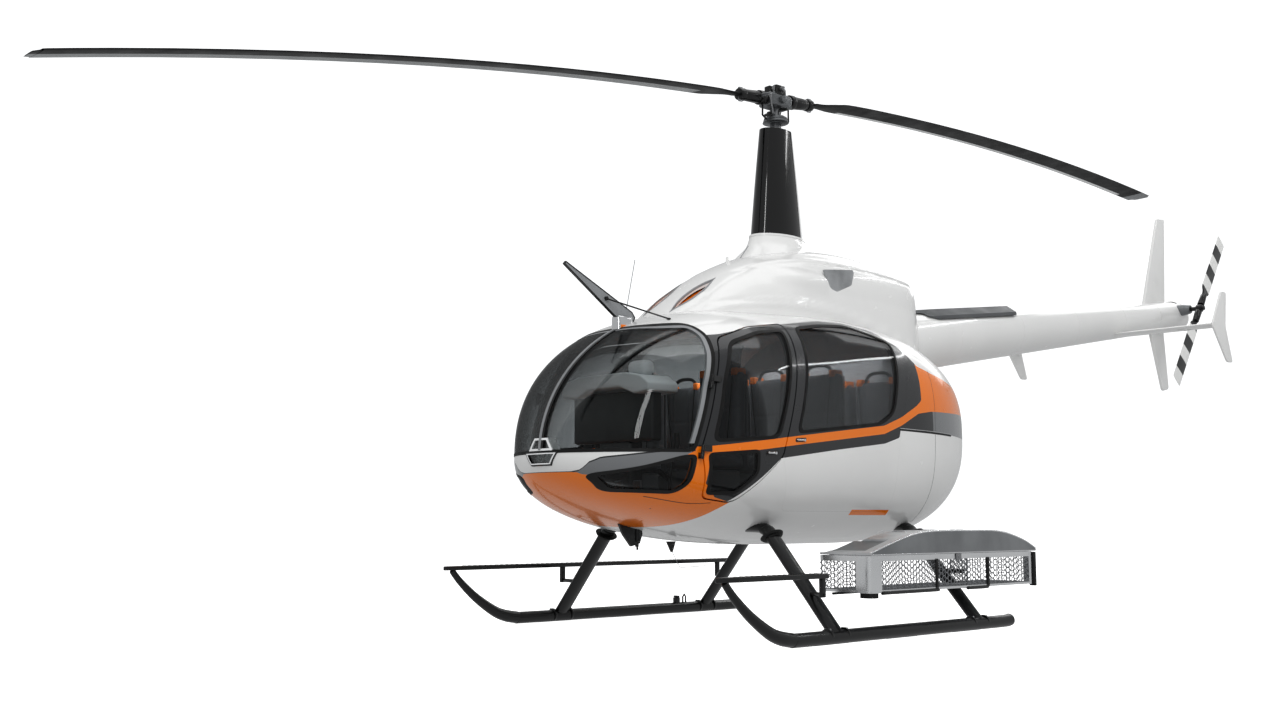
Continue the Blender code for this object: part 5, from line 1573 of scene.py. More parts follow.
@dataclass
class LandingGear:
    """Skids, bowed cross tubes with their boots and clamps, and the boarding steps."""

    skid_x: float = 1.356
    radius: float = 0.045
    toe: Outline = ((-2.100, .449), (-2.02, .362), (-1.884, .248), (-1.725, .148), (-1.62, .105),
                    (-1.50, .083), (-1.40, .0778), (-.60, .0778), (.40, .0778), (.90, .0778), (1.0, .086))
    legs: tuple[tuple[str, float], ...] = (("front", -1.057), ("rear", .569))
    boot: Two = (.825, .709)
    foot: Two = (1.360, .090)
    step_z: float = .4495
    step_half: float = .045
    bracket_z: float = .345
    steps: tuple[tuple[str, int, float, tuple[Two, ...]], ...] = (
        ("left", 1, -1.17, ((-1.19, -1.057),)), ("right", -1, 0.93, ((-1.04, -1.057), (0.73, .569))))

    def leg_x(self, z: float) -> float:
        """How far out a leg's axis is at a height."""
        t = (z - self.boot[1]) / (self.foot[1] - self.boot[1])
        return self.boot[0] + (self.foot[0] - self.boot[0]) * t

    def build_skids(self) -> None:
        """The two tubes with their wear plates, clamps and tow fitting."""
        for word, side in (("left", 1), ("right", -1)):
            x = side * self.skid_x
            line = [Vector((x, y, z)) for y, z in smooth_path(self.toe, 6)]
            sizes = [min(1.0, .50 + .50 * max(0.0, p.y + 2.10) / .52) for p in line]
            pipe = tube(line, self.radius, 32, sizes)
            for v in pipe.vertices:
                v.co.z = max(v.co.z, .0354)
            put(f"skid_{word}_tube", pipe, BLACK_PAINT, replaces=[f"skid_{word}"])
            shoes = joined([rounded_box((x - .022, y, .0350), (x + .022, y + .34, .0420), .002)
                            for y in (-1.30, -.55, .22)])
            put(f"skid_{word}_wear_plates", shoes, STEEL)
            bands = [disc((x - side * .0046, y + dy - .009, .0848), (x - side * .0046, y + dy + .009, .0848),
                          self.radius + .0045) for _, y in self.legs for dy in (-.085, .085)]
            bolts = [disc((x + dx * .020, y + dy, .120), (x + dx * .020, y + dy, .134), .006, sides=6)
                     for _, y in self.legs for dy in (-.085, .085) for dx in (-1, 1)]
            put(f"skid_{word}_clamps", joined(bands), BLACK_PAINT)
            put(f"skid_{word}_clamp_bolts", joined(bolts), STEEL)
        x = -self.skid_x
        eye = [(x, .30, .12), (x, .30, .165), (x, .318, .188), (x, .335, .165), (x, .335, .12)]
        hook = joined([tube(eye, .007, 12), rounded_box((x - .02, .20, .115), (x + .02, .25, .165), .006),
                       disc((x - .03, .225, .172), (x + .03, .225, .172), .008, sides=12)])
        put("skid_right_tow_fitting", hook, BLACK_PAINT)

    def build_legs(self) -> None:
        """Cross tubes of oval section, and the boots where they leave the belly."""
        for word, y in self.legs:
            half = [(self.foot[0], self.foot[1]), (1.09, .402), self.boot, (self.boot[0] - .05, .748),
                    (self.boot[0] - .12, .765), (.30, .772)]
            path = [Vector((px, y, pz)) for px, pz in smooth_path(half, 8)]
            path += [Vector((-p.x, p.y, p.z)) for p in reversed(path)]
            rings = []
            for i, here in enumerate(path):
                ahead = path[min(i + 1, len(path) - 1)] - path[max(i - 1, 0)]
                normal = Vector((-ahead.z, 0, ahead.x)).normalized()
                rings.append([here + Vector((0, .065 * math.cos(a), 0)) + normal * (.035 * math.sin(a))
                              for a in turns(40)])
            put(f"cross_tube_{word}_leg", as_mesh(loft(rings)), BLACK_PAINT, replaces=[f"cross_tube_{word}"])
            along = Vector((self.foot[0] - self.boot[0], 0, self.foot[1] - self.boot[1])).normalized()
            for side_word, side in (("left", 1), ("right", -1)):
                centre = Vector((self.boot[0], y, self.boot[1])) + along * .010
                tilt = (along + Vector((.10, 0, -.25))).normalized()
                boot = joined([disc(centre - tilt * .012, centre + tilt * .004, .072, .062, 48, .3),
                               disc(centre, centre + along * .018, .050, .044, 48, .3)])
                there, back = Matrix.Translation((0, y, 0)), Matrix.Translation((0, -y, 0))
                boot.transform(there @ Matrix.Diagonal((1, 1.35, 1, 1)) @ back)
                put(f"boot_{word}_{side_word}", boot if side > 0 else mirrored(boot), RUBBER)

    def build_steps(self) -> None:
        """Boards with a non-slip top, their hanging bars and links."""
        for word, side, aft, brackets in self.steps:
            x, half, top = side * self.skid_x, self.step_half, self.step_z + .032
            plan = [(x - half, aft), (x + half, aft), (x + half, -2.02), (x + .014, -2.17), (x - .014, -2.17),
                    (x - half, -2.02)]
            board = softened(prism(Axis.PLAN, round_outline(plan, .012, 3), self.step_z, top - .002), .005)
            put(f"step_{word}_board", board, BLACK_PAINT, replaces=[f"step_{word}"])
            count = int((aft + 1.98) / .05)
            reach, pitch, width = half - .008, .05, .018
            fronts = [-1.98 + pitch * k for k in range(count)]
            ribs = [rounded_box((x - reach, y, top - .003), (x + reach, y + width, top), .001, 1)
                    for y in fronts]
            put(f"step_{word}_grip_ribs", joined(ribs), RUBBER)
            hangers = []
            level = self.bracket_z
            for bar_y, leg_y in brackets:
                hangers += [rounded_box((x - .014, bar_y - .020, level - .016),
                                        (x + .014, bar_y + .020, self.step_z + .004), .005),
                            tube([(x, bar_y, level), (side * self.leg_x(level), leg_y, level)], .014, 16),
                            disc((x - .019, bar_y, level), (x + .019, bar_y, level), .010, sides=6)]
            put(f"step_{word}_hangers", joined(hangers), BLACK_PAINT)

    def build(self) -> None:
        """Make the gear."""
        self.build_skids()
        self.build_legs()
        self.build_steps()


# The cargo basket


@dataclass
class Basket:
    """A mesh-walled basket beside the port skid, with an arched lid."""

    x0: float = 1.06
    x1: float = 1.50
    y0: float = -.87
    y1: float = 1.12
    z0: float = .35
    rim: float = .585
    notch: Three = (.479, .659, 1.235)
    lid: Outline = ((-.885, .605), (-.70, .655), (-.45, .715), (-.20, .742), (.25, .745), (.65, .737),
                    (.95, .68), (1.135, .612))
    hinge: Three = (1.070, .125, .605)
    cell: float = .0225
    wire: float = .0065

    def lattice(self, a: Two, b: Two) -> BMesh:
        """A flat honeycomb of expanded metal, trimmed to a rectangle.

        Args:
            a: its span along the first direction.
            b: its span along the second.
        Returns:
            A sheet in the XY plane, given its thickness.
        """
        bm = bmesh.new()
        step_a, step_b = self.cell * 1.5, self.cell * math.sqrt(3)
        turn = Matrix.Rotation(math.pi / 6, 4, "Z")
        for i in range(int((a[1] - a[0]) / step_a) + 2):
            for j in range(int((b[1] - b[0]) / step_b) + 2):
                place = Matrix.Translation((a[0] + i * step_a, b[0] + (j + (i % 2) / 2) * step_b, 0))
                bmesh.ops.create_circle(bm, cap_ends=True, segments=6, radius=self.cell, matrix=place @ turn)
        bmesh.ops.remove_doubles(bm, verts=bm.verts, dist=self.cell * .1)
        cells = bm.faces[:]
        bmesh.ops.inset_individual(bm, faces=cells, thickness=self.wire / 2)
        bmesh.ops.delete(bm, geom=cells, context="FACES")
        for point, normal in (((a[0], 0, 0), (-1, 0, 0)), ((a[1], 0, 0), (1, 0, 0)),
                              ((0, b[0], 0), (0, -1, 0)), ((0, b[1], 0), (0, 1, 0))):
            sheet = bm.verts[:] + bm.edges[:] + bm.faces[:]
            bmesh.ops.bisect_plane(bm, geom=sheet, plane_co=point, plane_no=normal, clear_outer=True)
        bmesh.ops.solidify(bm, geom=bm.faces[:], thickness=.0025)
        return bm

    def wall(self, axis: Axis, a: Two, b: Two, level: float) -> Mesh:
        """A mesh wall at a level.

        Args:
            axis: the direction it faces.
            a: its span along the first direction.
            b: its span along the second.
            level: its place along the axis.
        Returns:
            The wall.
        """
        bm = self.lattice(a, b)
        for v in bm.verts:
            v.co = spot(axis, v.co.x, v.co.y, level + v.co.z)
        return as_mesh(bm)

    def build_tub(self) -> None:
        """Floor, mesh walls, corner posts, rim and brackets."""
        x0, x1, y0, y1, z0, rim = self.x0, self.x1, self.y0, self.y1, self.z0, self.rim
        n0, n1, nx = self.notch
        up = (z0 + .01, rim - .02)
        across = (x0 + .02, x1 - .05)
        walls = [self.wall(Axis.SIDE, (y0 + .05, y1 - .05), up, x1 - .006),
                 self.wall(Axis.FRONT, across, up, y0 + .004), self.wall(Axis.FRONT, across, up, y1 - .006)]
        put("basket_outer_mesh", joined(walls), BASKET_WIRE, replaces=["basket_outer_walls"],
            sharp=30)
        walls = [self.wall(Axis.SIDE, span, up, level) for span, level in (
            ((y0 + .02, n0), x0 + .004), ((n1, y1 - .02), x0 + .004), ((n0, n1), nx + .004))]
        walls += [self.wall(Axis.FRONT, (x0, nx), up, level) for level in (n0 - .006, n1 + .004)]
        put("basket_inner_mesh", joined(walls), BASKET_WIRE, replaces=["basket_inner_wall"],
            sharp=30)
        sheets = [self.wall(Axis.PLAN, (x0 + .005, x1 - .005), (y0 + .005, n0), z0 + .004),
                  self.wall(Axis.PLAN, (nx, x1 - .005), (n0, n1), z0 + .004),
                  self.wall(Axis.PLAN, (x0 + .005, x1 - .005), (n1, y1 - .005), z0 + .004)]
        put("basket_floor_mesh", joined(sheets), BASKET_WIRE, replaces=["basket"],
            sharp=30)
        loop = [(x0, y0), (x1, y0), (x1, y1), (x0, y1), (x0, n1), (nx, n1), (nx, n0), (x0, n0)]
        outer = round_outline(loop, .055, 8)
        bands = []
        for low, high, thick in ((rim - .036, rim, .006), (z0 - .002, z0 + .014, .010)):
            hoop = carved(prism(Axis.PLAN, outer, low, high), [
                (CUT, prism(Axis.PLAN, offset_outline(outer, -thick), low - .1, high + .1))])
            bands.append(hoop)
        put("basket_rim_bands", joined(bands), BRUSHED_UP, sharp=30)
        shell = carved(prism(Axis.PLAN, offset_outline(outer, .0012), z0 - .004, rim), [
            (CUT, prism(Axis.PLAN, offset_outline(outer, -.003), z0 - .1, rim + .1))])
        for word, low, high in (("front", (x1 - .125, y0 - .1), (x1 + .1, y0 + .110)),
                                ("rear", (x1 - .090, y1 - .075), (x1 + .1, y1 + .1))):
            post = carved(shell, [(KEEP, prism(Axis.PLAN, rectangle(*low, *high), z0 - .2, rim + .1))])
            put(f"basket_{word}_corner", post, BRUSHED_UP, sharp=30)
        corner = round_outline(rectangle(x1 - .115, y0 + .003, x1 - .003, y0 + .10), .045, 6)
        foot = prism(Axis.PLAN, corner, z0 - .036, z0 - .0045)
        put("basket_corner_foot", foot, RUBBER)
        bars, x, under = [], x1 - .0008, z0 - .004
        for y, ahead in ((-.139, y0 + .11), (.493, .23)):
            hook = [(x, y, rim - .03), (x, y, z0 + .05), (x, y, z0 + .012), (x, y - .010, z0 - .001),
                    (x, y - .035, under), (x, ahead, under)]
            bars.append(tube(smooth_path(hook, 5), .012, 14))
            bars.append(tube([(x, y - .10, under), (x0 + .10, y - .10, z0 - .014)], .0085, 14))
        bars.append(rounded_box((x1 - .040, y1 - .010, z0 - .018), (x1 + .0115, y1 + .014, rim - .004), .006))
        bars.append(tube([(x0 + .10, y0 + .03, z0 - .016), (x0 + .10, y1 - .05, z0 - .016)], .0085, 14))
        put("basket_tube_brackets", joined(bars), BLACK_PAINT)
        arms = joined([rounded_box((1.065, -1.05, .43), (1.115, y0 + .006, .46), .006),
                       rounded_box((x0, .544, .43), (nx + .006, .594, .46), .006)])
        put("basket_arms", arms, BLACK_PAINT)

    def ring(self, y: float, crest: float, inset: float, low: float) -> list[Vector]:
        """The lid's section at a station, with rounded shoulders.

        Args:
            y: the station.
            crest: the lid's height there.
            inset: how far inside its skin.
            low: how low the section reaches.
        Returns:
            The section's points.
        """
        x0, x1, bottom = self.x0 + .034 + inset, self.x1 + .0112 - inset, self.rim + .006
        top = max(crest - inset, bottom + .016)
        rise = top - bottom
        outline = [(x0, low), (x1, low), (x1, top - .012), (x1 - .004, top - .004), (x1 - .012, top),
                   (x0 + .14, top), (x0 + .03 + .35 * rise, top - .30 * rise), (x0, bottom + .012)]
        return [Vector((x, y, z)) for x, z in outline]

    def lid_solid(self, inset: float, low: float, trim: float) -> Mesh:
        """The lid as a closed solid.

        Args:
            inset: how far inside its skin.
            low: how low it reaches.
            trim: how far inside each end it stops.
        Returns:
            The solid.
        """
        rows = [Vector(p) for p in smooth_path(self.lid, 6)]
        rings = [self.ring(max(rows[0].x + trim, min(rows[-1].x - trim, p.x)), p.y, inset, low) for p in rows]
        if trim:
            rings = [rings[0]] + [r for a, r in zip(rings, rings[1:]) if (r[0] - a[0]).length > .001]
        return as_mesh(loft(rings))

    def slab(self, span: Two, ends: Two, low: float, high: float) -> Mesh:
        """A layer of the arch between two depths under its skin.

        Args:
            span: its sides across the lid.
            ends: its ends along the lid.
            low: depth of its underside.
            high: depth of its top, less than nothing above the skin.
        Returns:
            A closed mesh.
        """
        row = [(y, z) for y, z in smooth_path(self.lid, 6) if ends[0] < y < ends[1]]
        section = [(y, z - high) for y, z in row] + [(y, z - low) for y, z in reversed(row)]
        return prism(Axis.SIDE, section, *span)

    def build_lid(self) -> None:
        """The pressed lid with its front panel, beads, hinges and latch."""
        bottom = self.rim + .006
        outer, inner = self.lid_solid(0.0, bottom, 0.0), self.lid_solid(.004, bottom - .1, .006)
        block = carved(outer, [(KEEP, self.slab((1.136, 1.434), (-.87, -.52), .020, -.05))])
        hollow = self.slab((1.14, 1.43), (-.84, -.54), .015, -.06)
        lid = carved(outer, [(CUT, inner), (ADD, block), (CUT, hollow)])
        put("basket_lid_shell", lid, BRUSHED, "basket_lid", ["basket_lid"], 28)
        # Painted shade: the front panel in the pocket is drawn in the darker copy of the brushed sheet
        panel = self.slab((1.143, 1.427), (-.84, -.54), .0148, .0125)
        put("basket_lid_front_panel", panel, BRUSHED_SHADED, "basket_lid")
        beads = []
        for y in (-.30, .05, .40, .75):
            crest = max(z for (ya, z) in smooth_path(self.lid, 6) if abs(ya - y) < .05)
            beads.append(rounded_box((self.x0 + .20, y - .012, crest - .004),
                                     (self.x1 - .13, y + .012, crest + .003), .003))
        put("basket_lid_beads", joined(beads), BRUSHED, "basket_lid")
        edge = self.x1 + .012
        trim = rounded_box((edge - .006, self.y0 - .010, bottom - .003),
                           (edge - .0001, self.y1 + .010, bottom + .004), .0015)
        put("basket_lid_drip_edge", trim, CHROME, "basket_lid")
        # Painted shade: the side plate is drawn in the darker copy of the brushed sheet
        face = [(self.y0 - .012, bottom + .005)] + [(y, z - .0085) for y, z in smooth_path(self.lid, 6)][1:-1]
        face += [(self.y1 + .012, bottom + .005)]
        plate = prism(Axis.SIDE, face, edge - .003, edge - .0003)
        put("basket_lid_side_plate", plate, BRUSHED_SHADED, "basket_lid")
        arch = [(edge - .0062, y, z - .0035) for y, z in smooth_path(self.lid, 6)]
        put("basket_lid_edge_bead", tube(arch, .006, 16), BRUSHED_UP, "basket_lid")
        x, z = self.x1, self.rim
        latch = joined([rounded_box((x + .002, .09, z - .045), (edge - .002, .15, z + .002), .003),
                        disc((x + .004, .12, z - .020), (edge - .0002, .12, z - .020), .012)])
        put("basket_latch", latch, STEEL)
        fixed, moving = [], []
        hx, _, hz = self.hinge
        for y in (self.y0 + .12, self.y1 - .12):
            fixed += [disc((hx, y, hz), (hx, y + .05, hz), .007), rounded_box(
                (hx - .006, y + .003, self.rim - .02), (hx + .001, y + .047, hz), .001, 1)]
            moving += [disc((hx, y + .0504, hz), (hx, y + .10, hz), .007), rounded_box(
                (hx, y + .053, hz - .003), (self.x0 + .04, y + .097, hz + .003), .001, 1)]
        put("lid_hinge_fixed", joined(fixed), STEEL)
        put("lid_hinge_moving", joined(moving), STEEL, "basket_lid")

    def build(self) -> None:
        """Make the basket."""
        self.build_tub()
        self.build_lid()


# The cabin's inside


@dataclass
class Padding:
    """Stuffed forms: a rounded block, filled by a cloth simulation and then sewn."""

    voxel: float = .011
    pressure: float = 4.0
    cap: float = .012
    frames: int = 20

    def filled(self, block: Mesh, seams: Callable[[Vector], float]) -> Mesh:
        """Swell a block and press its sewn lines in.

        Args:
            block: the closed starting shape.
            seams: how deep a place is pressed in, in metres.
        Returns:
            The padded mesh.
        """
        scene = bpy.context.scene
        obj = bpy.data.objects.new("pad", block)
        link(obj)
        remesh = obj.modifiers.new("remesh", "REMESH")
        remesh.mode, remesh.voxel_size = "VOXEL", self.voxel
        rest = evaluated(obj)
        bpy.data.objects.remove(obj)
        obj = bpy.data.objects.new("pad", rest)
        link(obj)
        low = min(v.co.z for v in rest.vertices)
        group = obj.vertex_groups.new(name="held")
        group.add([v.index for v in rest.vertices if v.co.z < low + .012], 1.0, "REPLACE")
        cloth = obj.modifiers.new("cloth", "CLOTH")
        cloth.settings.use_pressure = True
        cloth.settings.uniform_pressure_force = self.pressure
        cloth.settings.effector_weights.gravity = 0
        cloth.settings.vertex_group_mass = "held"
        cloth.settings.quality = 5
        for number in range(1, self.frames + 1):
            scene.frame_set(number)
        swollen = evaluated(obj)
        bpy.data.objects.remove(obj)
        scene.frame_set(1)
        for v, w in zip(rest.vertices, swollen.vertices):
            move = w.co - v.co
            v.co = v.co + move * min(1.0, self.cap / max(move.length, 1e-6))
        rest.update()
        normals = [v.normal.copy() for v in rest.vertices]
        for v, normal in zip(rest.vertices, normals):
            v.co = v.co - normal * seams(v.co)
        rest.materials.clear()
        return rest


@dataclass
class Interior:
    """Seats, belts, instrument console and the crew's controls."""

    floor: float = .8624
    pitch: float = .45
    rows: tuple[tuple[str, float, float, tuple[float, ...]], ...] = (
        ("front", -1.47, .90, (.40, -.40)), ("middle", -.74, .92, (.675, .225, -.225, -.675)),
        ("rear", -.02, .92, (.675, .225, -.225, -.675)))
    nodes: tuple[tuple[str, ...], ...] = (("seat_front_left", "seat_front_right"), ("seat_row_middle",),
                                          ("seat_row_rear",))

    def seam(self, across: float, along: float) -> float:
        """Depth of the sewn channels: two upright lines and one across."""
        width = .008
        upright = .007 * math.exp(-((abs(across) - .085) / width) ** 2)
        return upright + .005 * math.exp(-((along - .10) / width) ** 2)

    def build_seats(self) -> None:
        """Ten seats from one stuffed cushion and one stuffed back for each row."""
        pads = Padding()
        half = self.pitch / 2 - .022
        cushion = pads.filled(rounded_box((-half, .012, .300), (half, .398, .402), .030, 4),
                              lambda p: self.seam(p.x, p.y - .10) if p.z > .38 else 0.0)
        for (row, front, height, places), nodes in zip(self.rows, self.nodes):
            back = pads.filled(rounded_box((-half, .350, .44), (half, .438, height + .085), .034, 4),
                               lambda p: self.seam(p.x, p.z - .62) if p.y < .37 else 0.0)
            stand, guides, belts, hoops = [], [], [], []
            for number, x in enumerate(places, 1):
                move = Matrix.Translation((x, front, self.floor))
                for word, pad in (("cushion", cushion), ("back", back)):
                    replaced = [nodes[number - 1]] if row == "front" and word == "cushion" else \
                        [nodes[0]] if number == 1 and word == "cushion" else []
                    obj = put(f"seat_{row}_{number}_{word}", moved(pad.copy(), move), LEATHER,
                              replaces=replaced, sharp=60)
                seat = rounded_box((-half + .02, .04, .0), (half - .02, .38, .290), .02)
                shell = rounded_box((-half + .015, .440, .30), (half - .015, .459, height + .06), .008)
                stand += [moved(seat, move), moved(shell, move)]
                arch = [(-.13, .395, height + .060), (-.10, .392, height + .115), (-.05, .390, height + .140)]
                arch += [(-px, y, z) for px, y, z in reversed(arch)]
                hoops.append(moved(tube(smooth_path(arch, 5), .013, 12), move))
                for side in (-1, 1):
                    guide = rounded_box((side * .15 - .026, .345, height + .045),
                                        (side * .15 + .026, .450, height + .100), .008)
                    strap = tube([(side * .15, .338, height + .05), (side * .13, .334, .75),
                                  (side * .10, .335, .52), (side * .12, .30, .425)], .004, 8)
                    guides.append(moved(guide, move))
                    belts.append(moved(strap, move))
            put(f"seat_{row}_shells", joined(stand), TRIM)
            put(f"seat_{row}_belt_guides", joined(guides), WEBBING)
            put(f"seat_{row}_belts", joined(belts), RUBBER)
            put(f"seat_{row}_head_hoops", joined(hoops), DARK_TRIM)

    def build_console(self) -> None:
        """Glare shield, panel with its screens, pedestal and knobs."""
        face = [(-.46, 1.665), (-.30, 1.655), (-.17, 1.705), (.17, 1.705), (.30, 1.655), (.46, 1.665),
                (.475, 1.72), (.40, 1.775), (.25, 1.800), (-.25, 1.800), (-.40, 1.775), (-.475, 1.72)]
        shield = softened(prism(Axis.FRONT, round_outline(face, .014, 3), -1.86, -1.60), .014, 3)
        for v in shield.vertices:
            v.co.y -= .22 * (v.co.z - 1.80)
            v.co.x *= 1.0 - .5 * max(0.0, -1.72 - v.co.y)
        put("glare_shield", shield, LIGHT_TRIM, replaces=["instrument_console"])
        panel = joined([rounded_box((-.40, -1.76, 1.34), (.40, -1.66, 1.685), .02),
                        rounded_box((-.16, -1.74, .8626), (.16, -1.60, 1.36), .035),
                        rounded_box((-.105, -1.70, .8626), (.105, -1.56, 1.02), .03)])
        put("instrument_panel", panel, DARK_TRIM)
        screens = joined([rounded_box((x - .085, -1.663, z - .065), (x + .085, -1.654, z + .065), .003)
                          for x, z in ((-.285, 1.56), (-.095, 1.56), (.095, 1.56), (.285, 1.56))]
                         + [rounded_box((-.075, -1.603, 1.16), (.075, -1.594, 1.28), .003)])
        put("instrument_screens", screens, SCREEN_GLASS)
        knobs = joined([disc((x, -1.663, 1.42), (x, -1.642, 1.42), .011, .009, 20)
                        for x in (-.33, -.25, -.17, -.06, .06, .17, .25, .33)]
                       + [disc((x, -1.603, z), (x, -1.584, z), .009, .007, 20) for x in (-.06, -.02, .02, .06)
                          for z in (1.05, 1.10)])
        put("instrument_knobs", knobs, RUBBER)
        hood = rounded_box((.205, -1.82, 1.775), (.385, -1.70, 1.880), .045, 5)
        put("compass_hood", hood, LIGHT_TRIM)

    def build_controls(self) -> None:
        """Cyclic sticks, collective levers and pedals."""
        sticks, grips, pedals = [], [], []
        for x in (.40, -.40):
            sticks.append(tube(smooth_path([(x, -1.56, self.floor), (x, -1.60, 1.05), (x, -1.57, 1.22),
                                            (x, -1.54, 1.30)], 5), .012, 14))
            grips.append(tube([(x, -1.545, 1.28), (x, -1.525, 1.33), (x, -1.53, 1.40)], .019, 16,
                              (.9, 1.1, .9)))
            sticks.append(tube([(x - .24, -1.10, .92), (x - .24, -1.38, 1.10)], .012, 14))
            grips.append(tube([(x - .24, -1.36, 1.088), (x - .24, -1.46, 1.150)], .018, 16))
            for dx in (-.09, .09):
                pedals.append(rounded_box((x + dx - .035, -1.985, .97), (x + dx + .035, -1.970, 1.07), .006))
                sticks.append(tube([(x + dx, -1.97, 1.0), (x + dx, -1.86, self.floor + .03)], .010, 12))
        put("control_sticks", joined(sticks), BLACK_PAINT)
        put("control_grips", joined(grips), RUBBER)
        put("pedal_pads", joined(pedals), STEEL)

    def build(self) -> None:
        """Make the inside."""
        self.build_seats()
        self.build_console()
        self.build_controls()


# Small fittings on the skin


@dataclass
class Fittings:
    """Lamp, wire cutters, aerials, door furniture, rails and panel lines."""

    lamp: Outline = ((-.165, 1.2546), (-.100, 1.165), (.100, 1.165), (.165, 1.2546))
    housing: Outline = ((-.118, 1.262), (.118, 1.262), (.064, 1.345), (-.064, 1.345))
    hinge_low: Three = (.872, -1.798, 1.10)
    hinge_high: Three = (.884, -1.690, 1.70)
    hinges: tuple[tuple[str, float, Two, Two], ...] = (
        ("low", 1.245, (.006, .100), (.060, .012)), ("high", 1.70, (.020, .103), (.060, .044)))
    handles: tuple[tuple[str, float, float], ...] = (("front", -1.232, 1.252), ("rear", -.950, 1.348))
    upper_cutter: Outline = ((-1.585, 2.14), (-1.545, 2.225), (-1.575, 2.262), (-2.185, 2.545),
                             (-2.20, 2.525), (-1.70, 2.190), (-1.665, 2.14))
    lower_cutter: Outline = ((-1.70, .80), (-1.50, .82), (-1.475, .72), (-1.50, .655), (-1.58, .635),
                             (-1.655, .715))
    filler: Two = (.78, 1.66)
    rail: Outline = ((.18, 1.477), (.94, 1.467), (.94, 1.453), (.18, 1.463))

    def patch(self, outline: Outline, proud: float, sunk: float = .004) -> Mesh:
        """A plate that follows the pod's port side.

        Args:
            outline: its shape on the side view.
            proud: how far it stands out.
            sunk: how far it reaches in.
        Returns:
            The plate.
        """
        return carved(POD.shell(-proud, sunk), [(KEEP, prism(Axis.SIDE, outline, .05, 1.3))])

    def both(self, name: str, mesh: Mesh, finish: Finish, body: str = AIRFRAME) -> None:
        """Put a port piece and its starboard twin."""
        for word, shape in two_sides(mesh):
            place = f"front_door_{word}" if body == "front_door" else AIRFRAME
            put(f"{name}_{word}", shape, finish, place)

    def build_lamp(self) -> None:
        """The nose lamp, and the bright housing behind the glass above it."""
        skin = POD.surface(-.006, 0)
        pocket = prism(Axis.FRONT, offset_outline(self.lamp, -.016), -2.8, -2.335)
        bezel = carved(prism(Axis.FRONT, self.lamp, -2.7, -2.27), [(KEEP, skin), (CUT, pocket)])
        put("nose_lamp_bezel", bezel, BLACK_GLOSS, replaces=["nose_lamp"])
        rim = carved(prism(Axis.FRONT, offset_outline(self.lamp, -.008), -2.7, -2.30), [
            (KEEP, POD.surface(-.0085, 0)),
            (CUT, prism(Axis.FRONT, offset_outline(self.lamp, -.0158), -2.8, -2.2))])
        put("nose_lamp_rim", rim, LAMP_WHITE)
        lamps, glass = [], []
        for x in (-.046, .046):
            lamps.append(disc((x, -2.3345, 1.214), (x, -2.358, 1.214), .030, .034, 40, .25))
            glass.append(disc((x, -2.3585, 1.214), (x, -2.364, 1.214), .031, .024, 40, .5))
        lamps.append(rounded_box((-.085, -2.352, 1.250), (.085, -2.336, 1.2535), .001))
        # Painted reflection: the chrome reflectors are drawn in white gloss so that they look bright
        put("nose_lamp_reflectors", joined(lamps), LAMP_WHITE)
        put("nose_lamp_lenses", joined(glass), CLEAR_GLASS)
        cover = carved(POD.shell(-.001, .004), [(KEEP, prism(Axis.FRONT, offset_outline(self.lamp, -.0165),
                                                             -2.8, -2.2))])
        put("nose_lamp_cover", cover, CLEAR_GLASS)
        bars = joined([rounded_box((-.082, -2.399, 1.172), (.082, -2.388, 1.178), .0015)])
        put("nose_lamp_trim", bars, LAMP_WHITE)
        frame_ring = carved(prism(Axis.FRONT, self.housing, -2.45, -2.31), [
            (KEEP, POD.surface(-.005, 0)),
            (CUT, prism(Axis.FRONT, offset_outline(self.housing, -.014), -2.8, -2.33))])
        slats = joined([rounded_box((-w, -2.352, z), (w, -2.345, z + .007), .002)
                        for w, z in ((.088, 1.285), (.072, 1.310))])
        put("lamp_housing_frame", frame_ring, LAMP_WHITE)
        put("lamp_housing_slats", slats, LAMP_WHITE)

    def build_cutters(self) -> None:
        """Wire cutters above and below, and the upper one's strut and foot."""
        skin = POD.surface(-FIT, 0)
        plate = carved(prism(Axis.SIDE, offset_outline(self.upper_cutter, -.004), -.008, .008),
                       [(CUT, skin)])
        put("upper_cutter_plate", plate, GREY_PAINT, replaces=["wire_cutter_upper"])
        edge = carved(prism(Axis.SIDE, self.upper_cutter, -.0105, .0105), [
            (CUT, prism(Axis.SIDE, offset_outline(self.upper_cutter, -.007), -.2, .2)), (CUT, skin)])
        put("upper_cutter_edge", edge, BLACK_PAINT)
        top, foot = Vector((.012, -1.823, 2.330)), Vector((.36, -1.560, POD.top_z(.36, -1.560) + .004))
        along = Vector((.012, 0, 0))
        rise = Vector((0, 0, 1))
        ends = [disc(top - along * 2 / 3, top + along, .014),
                disc(foot - rise * .010, foot + rise * .006, .013)]
        put("upper_cutter_strut", tube([top, foot], .0055, 14), BLACK_PAINT)
        put("upper_cutter_strut_ends", joined(ends), BLACK_PAINT)
        foot = carved(rounded_box((-.040, -1.735, 2.10), (.040, -1.590, 2.225), .022, 4), [(CUT, skin)])
        put("upper_cutter_foot", foot, CHROME)
        shoe = carved(rounded_box((-.0415, -1.715, 2.125), (.0415, -1.640, 2.162), .008, 3), [(CUT, skin)])
        put("upper_cutter_shoe", shoe, ORANGE_PAINT)
        blade = carved(prism(Axis.SIDE, self.lower_cutter, -.010, .010), [(CUT, skin)])
        put("lower_cutter_blade", blade, BLACK_PAINT, replaces=["wire_cutter_lower"])
        bracket = joined([rounded_box((-.022, -1.540, .665), (.022, -1.500, .80), .008),
                          disc((0, -1.52, .632), (0, -1.52, .66), .013),
                          tube([(0, -1.52, .66), (0, -1.515, .61)], .007, 12)])
        put("lower_cutter_bracket", bracket, BLACK_PAINT)

